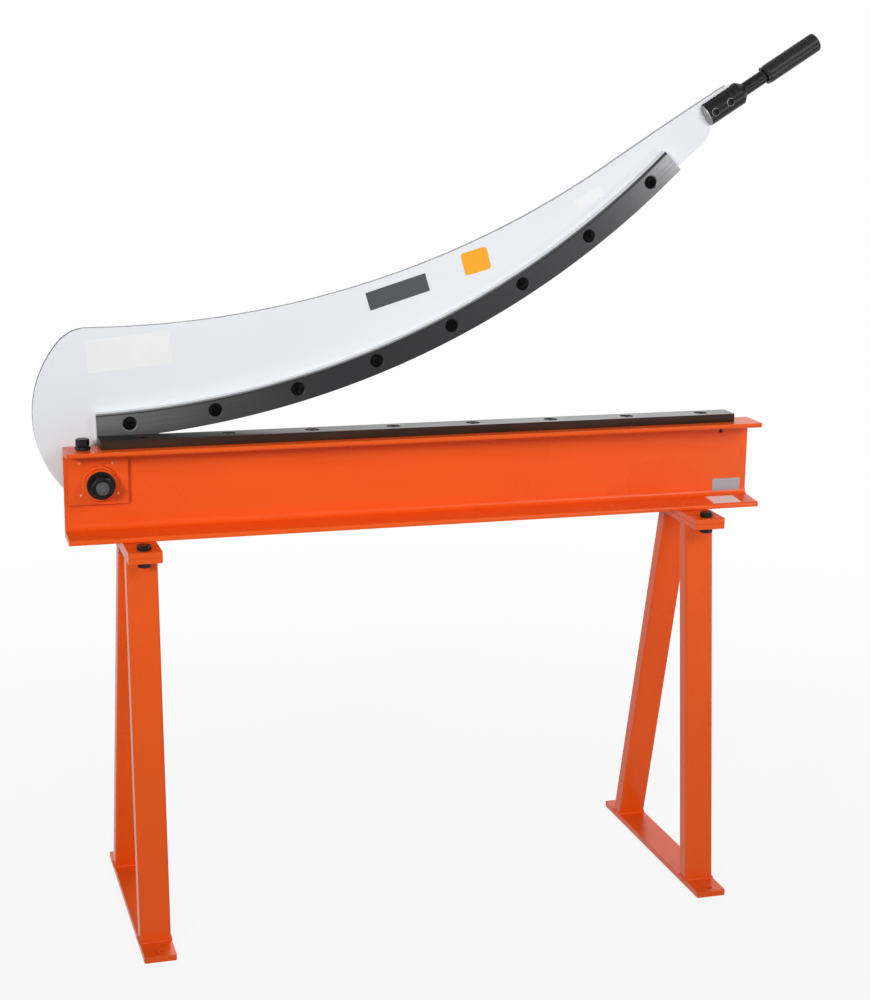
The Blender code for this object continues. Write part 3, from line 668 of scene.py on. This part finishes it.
def arm_outline():
    """Along the blade, round the tongue in the socket, back over the shoulder and round the heel."""
    row = edge_radius - plate_above_edge
    throat = math.asin((throat_ahead - edge_centre[0]) / row)
    throat_point = edge_curve(row, throat, throat, 1)[0]
    tongue_end = socket_start + tongue_in_socket
    nose = (nose_radius * math.sin(handle_droop), handle_axis_below - nose_radius * math.cos(handle_droop))
    nose_end = math.acos((tongue_end - nose[0]) / nose_radius)
    nose_arc = circle_part(nose, nose_radius, nose_end, math.pi / 2 + handle_droop, 20)
    crest_up = shoulder_radius - back_drop - crest_radius
    crest_back = math.sqrt((shoulder_radius - crest_radius) ** 2 - crest_up ** 2)
    crest = (shoulder_centre[0] - crest_back, shoulder_centre[1] + crest_up)
    crest_end = math.atan2(crest_up, -crest_back)
    heel_start = shoulder_angle + math.pi
    lean = math.atan2(throat_point[1], throat_point[0])
    heel_end = lean + math.asin(heel_radius / math.hypot(*throat_point)) + math.tau - math.pi / 2
    return rounded([
        (*throat_point, throat_radius),
        edge_curve(row, throat + 0.020 / row, edge_angle(upper_blade_length), 180),
        (*on_handle(socket_start - neck_before_socket, -neck_below_axis)[0], neck_radius),
        on_handle(socket_start - tongue_before_socket, -tongue_below_axis),
        on_handle(tongue_end, -tongue_below_axis),
        (*on_handle(*nose_arc[0])[0], nose_corner),
        on_handle(nose_arc[1:-1, 0], nose_arc[1:-1, 1]),
        circle_part(back_centre, back_radius, back_angle - math.pi / 2, -math.pi / 2, 180),
        circle_part(crest, crest_radius, math.pi / 2, crest_end, 14),
        circle_part(shoulder_centre, shoulder_radius - hair, crest_end, heel_start, 90)[1:-1],
        circle_part((0.0, 0.0), heel_radius, heel_start, heel_end, 40)[1:]], 12)


# Coats: the slot of a piece and the finishes that go with it

oxide = black_oxide("black_oxide", 0.20)
vinyl = plain_film("white_vinyl", (0.88, 0.88, 0.88), 0.35)
orange = ("orange_paint", orange_enamel())
white = ("white_paint", white_enamel(), cut_edge())
bed_steel = ("blade_steel", bed_blade_steel(), painted_shade_edge_steel())
curved_steel = ("blade_steel", curved_blade_steel(), bright_edge_steel())
black = ("black_steel", oxide)
dry_black = ("black_steel", black_oxide("dry_black_oxide", 0.03))
bright = ("bright_steel", turned_steel("turned_steel", pivot, (0.42, 0.42, 0.43)))
bolt_steel = ("bright_steel", turned_steel("bolt_end_steel", pivot, (0.10, 0.10, 0.105)))


# Bed

def bed_section():
    """Rolled channel in depth and height: web behind, two tapered flanges towards the operator."""
    root = toe_thickness + flange_taper * web_front
    low = -bed_height
    return rounded([
        (0.0, 0.0, toe_edge), (flange_width, 0.0, heel_edge), (flange_width, low, heel_edge),
        (0.0, low, toe_edge), (0.0, low + toe_thickness, toe_radius), (web_front, low + root, root_radius),
        (web_front, -root, root_radius), (0.0, -toe_thickness, toe_radius)], 12)


def bore(radius, depth, place, direction, overrun=0.002):
    rows = [(0.0, -overrun), (radius, -overrun), (radius, depth + overrun), (0.0, depth + overrun)]
    return turned(rows, place, direction)


def at_pivot(depth):
    return pivot + (0.0, depth, 0.0)


def lower_screw_places():
    return [home + (x, lower_blade_back - blade_width / 2, 0.0)
            for x in np.linspace(lower_screw_first, lower_screw_last, screw_count)]


def make_bed():
    top = np.array((0.0, 0.0, table_height))
    grid = carried(bed_section(), home + top, BACK, UP, (bed_length, 0.0, 0.0))
    web_hole = home + (bed_length - web_hole_from_end, flange_width, table_height - web_hole_below_top)
    holes = [bore(screw_hole, through_flange, place + top, DOWN) for place in lower_screw_places()]
    holes += [bore(bolt_hole, through_flange, home + stop_bolt_place + top, DOWN),
              bore(pivot_bore, through_web, at_pivot(flange_width), FORWARD),
              bore(web_hole_radius, through_web, web_hole, FORWARD)]
    build("channel_bed", [grid], STAND, orange, "bed_channel", holes=holes, soft=(0.0005, 2))
    rows = [(0.0, 0.001), (0.0033, 0.001), (0.0033, 0.0058), (0.0029, 0.0062), (0.0017, 0.0062, 1.0),
            (0.0015, 0.0040, 1.0), (0.0, 0.0036)]
    build("web_set_screw", [turned(rows, web_hole, FORWARD)], STAND, black)


# Blades and their screws

def screw_seat(place, direction):
    """The countersunk hole: an open cone at its mouth and under it a seat a little wider than the screw."""
    rows = [(0.0, 0.002), (seat_mouth, 0.002), (seat_mouth, 0.0), (seat_radius, seat_radius - seat_mouth),
            (seat_radius, -head_sunk - 0.0015), (screw_hole, -head_sunk - 0.0058), (screw_hole, -0.016),
            (0.0, -0.016)]
    return turned(rows, place, direction, 64)


def blade_screw(place, direction, turn):
    """Countersunk screw with a hexagon socket: rings from the foot of the socket to the end of the shank."""
    rows = [(0.0, -0.0042), (0.0030, -0.0035, 1.0), (0.0030, -0.0003, 1.0), (0.0034, 0.0, 0.6),
            (0.0086, 0.0), (0.0092, -0.0003), (0.0093, -0.0009), (0.0093, -0.0013), (0.0050, -0.0056),
            (0.0050, -screw_length + 0.0006), (0.0044, -screw_length), (0.0, -screw_length)]
    return turned(rows, place, direction, 48, turn)


def make_blade(name, node, grid, places, outward, body, coat, turn, chosen):
    """A ground blade, the chosen faces in its second finish, with its screws, which are seen from outward."""
    seats = [screw_seat(place, outward) for place in places]
    blade = build(name, [grid], body, coat, node, holes=seats, soft=(0.00045, 2))
    second_finish(blade, chosen)
    for number, place in enumerate(places, 1):
        screw = blade_screw(place - head_sunk * np.array(outward), outward, turn * number)
        build("%s_screw_%d" % (name, number), [screw], body, dry_black, "%s_screw_%d" % (node, number))


def make_lower_blade():
    bottom = table_height + seat_gap
    outline = rectangle(0.0, lower_blade_length, 0.0, blade_width)
    corner = home + (lower_blade_from_left, lower_blade_back - blade_width, bottom)
    grid = carried(outline, corner, ALONG, BACK, (0.0, 0.0, blade_thickness))
    places = [place + (0.0, 0.0, bottom + blade_thickness) for place in lower_screw_places()]
    make_blade("bed_blade", "lower_blade", grid, places, UP, STAND, bed_steel, 0.9, sideways(UP))


def upper_screw_places():
    ends = (edge_angle(upper_screw_from_end), edge_angle(upper_blade_length - upper_screw_from_end))
    level, upward = edge_curve(edge_radius - blade_width / 2, *ends, screw_count).T
    return np.column_stack((level, np.zeros(screw_count), upward)) + pivot


def make_upper_blade():
    start = edge_angle(0.0)
    end = edge_angle(upper_blade_length)
    outline = np.concatenate((edge_curve(edge_radius, start, end, 220),
                              edge_curve(edge_radius - blade_width, end, start, 220)))
    grid = carried(outline, at_pivot(upper_blade_front), ALONG, UP, (0.0, blade_thickness, 0.0))
    places = upper_screw_places() + (0.0, upper_blade_front, 0.0)

    def narrow(middle, normal):
        """The faces on the blade's outline, without the cones of its screw seats."""
        away = np.hypot(middle[:, :1] - places[:, 0], middle[:, 2:] - places[:, 2]).min(axis=1)
        return sideways(BACK)(middle, normal) & (away > seat_mouth + 0.0005)

    make_blade("curved_blade", "upper_blade", grid, places, FORWARD, ARM, curved_steel, 1.7, narrow)


# Arm and handle

def handle_at(along, depth=arm_front + arm_thickness / 2):
    x, z = on_handle(along, 0.0)[0]
    return pivot + (x, depth, z)


def make_arm():
    front = at_pivot(arm_front)
    grid = carried(arm_outline(), front, ALONG, UP, (0.0, arm_thickness, 0.0))
    places = [(pivot_bore, front)]
    places += [(screw_hole, place + (0.0, arm_front, 0.0)) for place in upper_screw_places()]
    places += [(cap_screw_hole, handle_at(along, arm_front)) for along in cap_screw_places]
    holes = [bore(radius, arm_thickness, place, BACK) for radius, place in places]
    arm = build("curved_arm", [grid], ARM, white, "arm_plate", holes=holes, soft=(0.0012, 2, 50.0))
    second_finish(arm, sideways(BACK))


def make_socket(ahead):
    """The slotted socket with its domed rear end, the bore for the bar and the seats of its cap screws."""
    rear = handle_at(socket_start)
    rise = np.linspace(0.0, math.pi / 2, 14)
    dome = np.column_stack((socket_dome_flat + (socket_radius - socket_dome_flat) * np.sin(rise),
                            -socket_dome_length * np.cos(rise)))
    rows = [(0.0, -socket_dome_length)] + dome.tolist()
    rows += [(socket_radius, 0.0648), (0.0193, 0.0656), (0.0123, 0.0742), (0.0114, socket_length),
             (0.0, socket_length)]
    socket = solid("slotted_socket", [turned(rows, rear, ahead, 96)])
    half = arm_thickness / 2 + seat_gap
    upward = (handle_up[0], 0.0, handle_up[1])
    slot = rectangle(-0.009, 0.0558, -0.024, 0.024)
    cut(socket, [carried(slot, rear - (0.0, half, 0.0), ahead, upward, (0.0, 2 * half, 0.0))])
    seat = socket_length - rod_seat_depth - seat_gap
    cut(socket, [bore(0.0113, 0.0168, handle_at(socket_start + seat), ahead, 0.0)])
    low = cap_head_seat - seat_gap
    rows = [(0.0, -0.0215), (cap_screw_hole, -0.0215), (cap_screw_hole, low), (0.0071, low),
            (0.0071, 0.0225), (0.0, 0.0225)]
    for along in cap_screw_places:
        cut(socket, [turned(rows, handle_at(along), FORWARD)])
    shade(socket, 30.0)
    # the faces of the socket's rear end are pale grey
    grey_end = plain_film("grey_rear_end", (0.33, 0.33, 0.34), 0.4, 0.5)
    fit(socket, ARM, (*black, grey_end), "handle_socket")
    second_finish(socket, lambda middle, normal: (middle - rear) @ np.array(ahead) < -0.0004)


def make_handle():
    ahead = (handle_ahead[0], 0.0, handle_ahead[1])
    make_socket(ahead)
    top = socket_radius + 0.0012
    rows = [(0.0, -0.0185), (0.0035, -0.0185), (0.0040, -0.0180), (0.0040, cap_head_seat),
            (0.0068, cap_head_seat), (0.0068, top - 0.0010), (0.0060, top - 0.0001), (0.0058, top),
            (0.0037, top, 0.5), (0.0033, top - 0.0004, 1.0), (0.0033, top - 0.0035, 1.0), (0.0, top - 0.0042)]
    for number, along in enumerate(cap_screw_places, 1):
        centre = handle_at(along)
        steel = turned_steel("cap_screw_steel_%d" % number, centre, (0.28, 0.28, 0.27))
        screw = build("socket_cap_screw_%d" % number, [turned(rows, centre, FORWARD, 48, 0.5 * number)], ARM,
                      ("bright_steel", steel, oxide), "socket_screw_%d" % number)
        second_finish(screw, lambda middle, normal: np.hypot(*(middle - centre).T[[0, 2]]) < 0.0055)

    rows = [(0.0, 0.0), (rod_radius, 0.0), (rod_radius, rod_length - 0.001), (rod_radius - 0.001, rod_length),
            (0.0, rod_length)]
    start = handle_at(socket_start + socket_length - rod_seat_depth)
    build("handle_bar", [turned(rows, start, ahead, 72)], ARM, black, "handle_rod")

    end = circle_part((grip_radius - grip_edge, grip_length - grip_edge), grip_edge, 0.0, math.pi / 2, 9)
    rows = [(0.0, 0.0853), (0.0113, 0.0853), (0.0113, 0.0006), (0.0119, 0.0), (0.0144, 0.0),
            (0.0150, 0.0005), (0.0152, 0.0042), (0.0154, 0.0046), (0.0158, 0.0050), (grip_radius, 0.0058)]
    rows += end.tolist() + [(0.0, grip_length)]
    start = handle_at(socket_start + socket_length + rod_shown)
    plastic = ("grip_plastic", moulded_black())
    build("hand_grip", [turned(rows, start, ahead, 72)], ARM, plastic, "handle_grip")


# Bolts and nuts

turned_off = math.tan(math.radians(30.0))


def hexagon_head(flats, height):
    """Rows of a hexagon whose corners are turned off at 30 degrees at both its ends."""
    half = flats / 2
    return [(0.0, 0.0), (0.94 * half, 0.0), (half, 0.03 * half, 1.0, -turned_off),
            (half, height - 0.05 * half * turned_off, 1.0, turned_off), (0.95 * half, height), (0.0, height)]


def nut_rows(flats, height, hole):
    """A nut's section from its hole outwards and back, both ends turned off, its thread's mouth opened."""
    half = flats / 2
    edge = 0.05 * half * turned_off
    mouth = 0.0008
    return [(hole, mouth), (hole + mouth, 0.0), (0.95 * half, 0.0), (half, edge, 1.0, -turned_off),
            (half, height - edge, 1.0, turned_off), (0.95 * half, height), (hole + mouth, height),
            (hole, height - mouth)]


def thread(place, direction, radius, pitch, start, end, sides=48, lead=0.0012):
    """A screw thread: at each height and angle the radius falls by a triangle wave of height less turn, and
    tapers off over the lead at the end, which has a centre mark."""
    rows = int((end - start) / pitch * 10) + 2
    height = np.linspace(start, end, rows)[:, None]
    angle = np.arange(sides) * math.tau / sides
    wave = np.abs(((height / pitch - angle / math.tau) % 1.0) * 2.0 - 1.0)
    reach = radius - 0.55 * pitch * np.clip(1.15 * wave - 0.1, 0.0, 1.0)
    reach = np.minimum(reach, radius - np.clip(height - (end - lead), 0.0, lead) * 0.9)
    axis, ring = ring_about(direction, angle)
    grid = np.array(place) + reach[..., None] * ring + height[..., None] * axis
    mark = 0.16 * radius
    rim = np.array(place) + mark * ring + axis * end
    foot, tip = (np.broadcast_to(np.array(place) + axis * at, (1, sides, 3)) for at in (start, end - mark))
    return np.concatenate((foot, grid, rim[None], tip))


# Pivot

def make_pad():
    """The pad on the web, its top sloped clear of the bed's fillet."""
    top = table_height - pad_below_top
    low = top - pad_height
    section = np.array([(pad_front, low), (pad_front, top), (pad_front + 0.0006, top),
                        (pad_back, top - 0.0095), (pad_back, low)])
    grid = carried(section, home + (pad_from_left, 0.0, 0.0), BACK, UP, (pad_length, 0.0, 0.0))
    hole = bore(pivot_bore, pad_thickness, at_pivot(pad_back), FORWARD)
    build("pivot_patch", [grid], STAND, orange, "pivot_pad", holes=[hole], soft=(0.0009,))


def make_boss():
    """The bush that is welded to the pad, and the weld bead round its foot."""
    rows = [(pivot_bore, 0.0), (boss_radius + 0.0015, 0.0), (boss_radius, 0.0030), (boss_radius, 0.0128),
            (0.0237, 0.0136), (0.0230, boss_length), (0.0112, boss_length), (pivot_bore, 0.0132)]
    boss = turned(rows, at_pivot(pad_front - seat_gap), FORWARD, 96)
    build("pivot_bush", [boss], STAND, orange, "pivot_boss", ring=True)
    ring = ring_about(FORWARD, np.arange(360) * math.tau / 360)[1]
    weld = at_pivot(pad_front - 0.0008) + (boss_radius + 0.0007) * ring
    build("pivot_bush_weld", [bead(weld, 0.0034, 0.0030)], STAND, orange, angle=60.0, ring=True)


def make_weld_spots():
    """Tack-weld dots near the pad's corners, coloured pale orange as a painted highlight."""
    rows = [(0.0, -0.0006), (0.0026, -0.0006), (0.0024, 0.0004), (0.0018, 0.0012), (0.0009, 0.0016),
            (0.0, 0.0017)]
    spots = [turned(rows, home + (x, pad_front, table_height - below), FORWARD, 24)
             for x, below in ((0.0233, 0.0232), (0.0732, 0.0250), (0.0249, 0.0731), (0.0798, 0.0725))]
    # pale orange: a painted highlight on the weld dots
    weld_highlight_coat = ("orange_paint", plain_film("painted_weld_highlight", (0.95, 0.33, 0.18), 0.3))
    build("patch_weld_spots", spots, STAND, weld_highlight_coat, angle=60.0)


def make_pivot():
    """Front washer and nut, the spacer between web and arm, the rear washer, and the bolt through them."""
    washer = [(pivot_bore, 0.0), (0.0212, 0.0), (0.0215, 0.0003), (0.0215, 0.0026),
              (0.0211, washer_thickness), (0.0106, washer_thickness), (pivot_bore, 0.0027)]
    nut = nut_rows(pivot_flats, pivot_nut_height, 0.0097)
    spacer = arm_front - flange_width - 2 * seat_gap
    tube = [(pivot_bore, 0.0), (0.0216, 0.0), (0.0220, 0.0004), (0.0220, spacer - 0.0004), (0.0216, spacer),
            (pivot_bore, spacer)]
    front = pad_front - seat_gap - boss_length - seat_gap
    nut_back = front - washer_thickness - seat_gap
    rear = arm_front + arm_thickness + seat_gap + washer_thickness
    rings = (("front_washer", "pivot_front_washer", washer, front, 0.0, 30.0, black),
             ("front_nut", "pivot_nut", nut, nut_back, 0.35, 25.0, black),
             ("arm_spacer_ring", "arm_spacer", tube, arm_front - seat_gap, 0.0, 30.0, bright),
             ("rear_washer", "pivot_rear_washer", washer, rear, 0.0, 30.0, black))
    for name, node, rows, depth, turn, crisp, coat in rings:
        grid = turned(rows, at_pivot(depth), FORWARD, 96, turn)
        build(name, [grid], STAND, coat, node, angle=crisp, ring=True)
    seat = rear + seat_gap
    place = at_pivot(seat)
    shank = seat - nut_back + pivot_nut_height + pivot_bolt_past_nut
    plain = shank - 0.0295
    rows = [(0.0, -0.002), (pivot_radius, -0.002), (pivot_radius, plain - 0.0005), (0.0090, plain),
            (0.0, plain)]
    grids = [turned(hexagon_head(pivot_flats, pivot_head_height), place, BACK, 96, 0.2),
             turned(rows, place, FORWARD, 72),
             thread(place, FORWARD, pivot_radius, pivot_pitch, shank - 0.0300, shank, 72)]
    build("pivot_axle", grids, STAND, bolt_steel, "pivot_bolt", angle=30.0)


def make_stop_bolt():
    """The bolt with its lock nut on the top flange."""
    place = home + stop_bolt_place + (0.0, 0.0, table_height + seat_gap)
    nut = turned(nut_rows(stop_nut_flats, stop_nut_height, bolt_hole), place, UP, 96, 0.25)
    build("stop_lock_nut", [nut], STAND, black, "flange_bolt_nut", angle=25.0, ring=True)
    seat = place + (0.0, 0.0, stop_nut_height + seat_gap)
    rows = [(0.0, -0.002), (bolt_radius, -0.002), (bolt_radius, 0.0138), (0.005, 0.0148), (0.0, 0.0148)]
    head = hexagon_head(stop_bolt_flats, stop_head_height)
    grids = [turned(head, seat, UP, 96, 0.55), turned(rows, seat, DOWN)]
    build("stop_bolt", grids, STAND, black, "flange_bolt", angle=25.0)


# Stands

def make_plate(name, node, outline, bottom, thickness, holes):
    """A flat bar with rounded corners and drilled holes."""
    grid = carried(outline, home + (0.0, 0.0, bottom), ALONG, BACK, (0.0, 0.0, thickness))
    holes = [bore(radius, thickness, home + (x, y, bottom), UP) for x, y, radius in holes]
    build(name, [grid], STAND, orange, node, holes=holes, soft=(0.0009,))


def leg_outline(middle, front, inward):
    """The tube's level section, its corners rounded, moved in by a wall for the inside."""
    half = leg_width / 2 - inward
    return rectangle(middle - half, middle + half, front + inward, front + leg_depth - inward,
                     leg_corner - inward)


def make_leg(name, node, middle, foot, top):
    """A rectangular tube that leans in depth: four rings, outside up and inside down. Gives the weld beads
    round its ends."""
    low = np.array((0.0, 0.0, base_thickness + seat_gap))
    lean = np.array((0.0, top - foot, leg_top - low[2]))
    outer, inner = [carried(leg_outline(middle, foot, inward), home + low, ALONG, BACK, lean)
                    for inward in (0.0, leg_wall)]
    build(name, [np.concatenate((outer, inner[::-1]))], STAND, orange, node, angle=50.0, ring=True)
    loop = leg_outline(middle, foot, -0.0004)
    level = np.column_stack((loop, np.zeros(len(loop)))) + home
    feet = evenly(level + low, 0.0006)
    head = evenly(level + (0.0, top - foot, leg_top - 0.0006), 0.0006)
    return [bead(feet, 0.0021, 0.0028, 10), bead(head, 0.0018, 0.0028, 10)]


leg_top = saddle_top - 2 * bar_thickness - 3 * seat_gap
leg_places = {"front": (-0.0807, -0.0198), "rear": (0.2175, 0.0652)}


def make_stand(side, middle):
    """Saddle and head bars, two legs with their welds, the foot bar, and the two bolts with their nuts."""
    half = bar_width / 2
    outline = rectangle(middle - half, middle + half, bar_front, bar_back, 0.002)
    bolts = {"front": bar_front + bolt_from_bar_end, "rear": bar_back - bolt_from_bar_end}
    holes = [(middle, y, bolt_hole) for y in bolts.values()]
    saddle = saddle_top - seat_gap - bar_thickness
    head = saddle - seat_gap - bar_thickness
    make_plate(side + "_saddle_bar", side + "_saddle_plate", outline, saddle, bar_thickness, holes)
    make_plate(side + "_head_bar", side + "_head_plate", outline, head, bar_thickness, holes)
    welds = []
    for end, (foot, top) in leg_places.items():
        corner = side + "_" + end
        welds += make_leg(corner + "_tube", corner + "_leg", middle, foot, top)
    build(side + "_stand_welds", welds, STAND, orange, angle=60.0, ring=True)
    half = base_width / 2
    outline = rectangle(middle - half, middle + half, base_front, base_back, 0.003)
    ends = (base_front + base_hole_from_end, base_back - base_hole_from_end)
    holes = [(middle, y, base_hole) for y in ends]
    make_plate(side + "_foot_bar", side + "_base_plate", outline, 0.0, base_thickness, holes)
    rows = [(0.0, -0.002), (bolt_radius, -0.002), (bolt_radius, 0.010), (0.0052, 0.0105), (0.0, 0.0105)]
    length = 2 * bar_thickness + 3 * seat_gap + 0.0090
    for end, y in bolts.items():
        corner = side + "_" + end
        seat = home + (middle, y, saddle_top)
        grids = [turned(hexagon_head(bolt_flats, bolt_head_height), seat, UP, 96, 0.4),
                 turned(rows, seat, DOWN),
                 thread(seat, DOWN, bolt_radius, bolt_pitch, 0.010, length)]
        build(corner + "_bolt", grids, STAND, black, corner + "_stand_bolt", angle=25.0)
        place = home + (middle, y, head - seat_gap)
        nut = turned(nut_rows(bolt_flats, bolt_nut_height, 0.0058), place, DOWN, 96, 0.1)
        build(corner + "_nut", [nut], STAND, black, corner + "_stand_nut", angle=25.0, ring=True)


# Bare films and plates where the machine is labelled, and a pale film that is a painted highlight

def tilted(centre, size, turn):
    """Corners of a rectangle turned about its middle."""
    corners = np.array(((-0.5, -0.5), (0.5, -0.5), (0.5, 0.5), (-0.5, 0.5))) * size
    turn = math.radians(turn)
    spin = np.array(((math.cos(turn), math.sin(turn)), (-math.sin(turn), math.cos(turn))))
    return corners @ spin + centre


def make_arm_films():
    """Rounded films on the arm's front face, their backs just inside it. Each has its name, its middle from
    the bed's left end and its top, its width and height, tilt, thickness, corner radius and coat."""
    plain = ("white_paint", vinyl)
    grey = ("black_steel", plain_film("grey_plate", (0.058, 0.060, 0.072), 0.4))
    amber = ("white_paint", plain_film("amber_vinyl", (0.93, 0.40, 0.012), 0.35))
    films = (("name_film", (0.1056, 0.1380), (0.1285, 0.0503), 5.1, 0.00025, 0.0006, plain),
             ("dark_plate", (0.5258, 0.2199), (0.1006, 0.0288), 17.0, 0.0006, 0.0012, grey),
             ("amber_patch", (0.6530, 0.2655), (0.044, 0.036), 15.5, 0.00025, 0.0050, amber),
             ("small_film", (0.8399, 0.3623), (0.0504, 0.0165), 27.3, 0.00025, 0.0006, plain))
    face = home + (0.0, arm_front, table_height)
    for name, centre, size, turn, thickness, radius, coat in films:
        outline = rounded([(x, z, radius) for x, z in tilted(centre, size, turn)], 6)
        film = carried(outline, face + (0.0, hair, 0.0), ALONG, UP, (0.0, -hair - thickness, 0.0))
        build(name, [film], ARM, coat, soft=(0.4 * thickness, 2, 50.0), angle=50.0)


def make_bed_label_and_highlight():
    """A plate on the web near its right end, and below it on the sloping lower flange a pale film that is a
    painted highlight.
    """
    outline = rectangle(1.066, 1.116, table_height - 0.1250, table_height - 0.1015, 0.0012)
    plate = carried(outline, home + (0.0, web_front + hair, 0.0), ALONG, UP, (0.0, -0.0006, 0.0))
    metal = ("bright_steel", plain_film("bare_aluminium", (0.30, 0.285, 0.30), 0.38, 0.5))
    build("data_plate", [plate], STAND, metal, soft=(0.00025, 2, 50.0), angle=50.0)
    # a pale film on the flange: painted highlight
    outline = rectangle(1.050, 1.098, 0.0050, 0.0415, 0.001)
    height = table_height - bed_height + toe_thickness + outline[:, 1] * flange_taper
    flat = home + np.column_stack((outline, height))
    film = np.stack((flat - (0.0, 0.0, hair), flat + (0.0, 0.0, 0.0003)))
    build("flange_highlight_film", [film], STAND, ("orange_paint", vinyl), angle=50.0)


# Floor, light and camera

def pale_ground():
    """A floor that the camera sees nearly white, with the object's soft shadow, and pure white far off."""
    made = Finish("pale_ground", (0.62, 0.62, 0.62), 0.9)
    reach = made.add("ShaderNodeVectorMath", {0: made.place}, operation="LENGTH").outputs["Value"]
    far = made.ranged(reach, 0.88, 1.0, 0.6, 2.4)
    glow = made.add("ShaderNodeEmission", {"Color": WHITE, "Strength": 1.0})
    share = made.math("MULTIPLY", made.seen(), far)
    mix = made.add("ShaderNodeMixShader", {0: share, 1: made.shader.outputs[0], 2: glow.outputs[0]})
    made.set(made.tree.nodes["Material Output"], {"Surface": mix.outputs[0]})
    return made.material


def make_floor():
    mesh = bpy.data.meshes.new("studio_floor")
    corners = rectangle(-40.0, 40.0, -40.0, 40.0)
    mesh.from_pydata([(x, y, -0.0004) for x, y in corners.tolist()], [], [(0, 1, 2, 3)])
    floor = bpy.data.objects.new("studio_floor", mesh)
    bpy.context.scene.collection.objects.link(floor)
    mesh.materials.append(pale_ground())


def add_lamp(name, place, target, width, height, power, spread):
    lamp = bpy.data.lights.new(name, "AREA")
    lamp.shape = "RECTANGLE"
    lamp.size = width
    lamp.size_y = height
    lamp.energy = power
    lamp.spread = math.radians(spread)
    holder = bpy.data.objects.new(name, lamp)
    holder.location = place
    aim = np.array(target) - np.array(place)
    pitch = math.atan2(math.hypot(aim[0], aim[1]), -aim[2])
    holder.rotation_euler = (pitch, 0.0, math.atan2(aim[1], aim[0]) - math.pi / 2)
    bpy.context.scene.collection.objects.link(holder)


def make_light():
    """A white surrounding where the background is seen, a soft dim one for the light, and four softboxes."""
    world = bpy.data.worlds.new("studio")
    bpy.context.scene.world = world
    world.use_nodes = True
    sky = Nodes(world.node_tree)
    soft = sky.tree.nodes["Background"]
    sky.set(soft, {"Color": (0.95, 0.97, 1.0, 1.0), "Strength": 0.30})
    white = sky.add("ShaderNodeBackground", {"Color": WHITE, "Strength": 1.0})
    mix = sky.add("ShaderNodeMixShader", {0: sky.seen(), 1: soft.outputs[0], 2: white.outputs[0]})
    sky.set(sky.tree.nodes["World Output"], {"Surface": mix.outputs[0]})
    add_lamp("left_softbox", (-2.5, -2.9, 1.85), (-0.2, 0.0, 1.10), 0.6, 0.6, 10.4, 65.0)
    add_lamp("right_softbox", (2.0, -2.8, 2.6), (0.3, 0.0, 1.10), 1.4, 1.2, 6.5, 65.0)
    add_lamp("low_softbox", (2.1, -1.9, 0.25), (0.45, 0.0, 1.15), 0.8, 0.5, 1.0, 50.0)
    add_lamp("rear_softbox", (0.8, 3.4, 2.9), (0.0, 0.0, 0.8), 2.4, 1.4, 60.0, 180.0)


def make_camera():
    """The camera solved from the photograph: place, heading, pitch and roll, and the lens in millimetres."""
    lens = bpy.data.cameras.new("photo_camera")
    lens.lens = 69.874
    camera = bpy.data.objects.new("photo_camera", lens)
    right = np.array((0.95883, -0.28372, 0.01226))
    ahead = np.array((0.27911, 0.93351, -0.22509))
    right /= np.linalg.norm(right)
    ahead -= right * (ahead @ right)
    ahead /= np.linalg.norm(ahead)
    rows = np.eye(4)
    rows[:3] = np.column_stack((right, np.cross(right, ahead), -ahead, (-0.877216, -2.919849, 1.350503)))
    camera.matrix_world = Matrix(rows.tolist())
    bpy.context.scene.collection.objects.link(camera)
    bpy.context.scene.camera = camera


def main():
    make_bed()
    make_lower_blade()
    make_stop_bolt()
    make_pad()
    make_boss()
    make_weld_spots()
    make_pivot()
    make_stand("left", left_stand_middle)
    make_stand("right", bed_length - right_stand_from_end)
    make_arm()
    make_upper_blade()
    make_handle()
    make_arm_films()
    make_bed_label_and_highlight()
    make_floor()
    make_light()
    make_camera()
    bpy.context.scene.view_settings.view_transform = "Standard"


main()
bpy.context.view_layer.update()
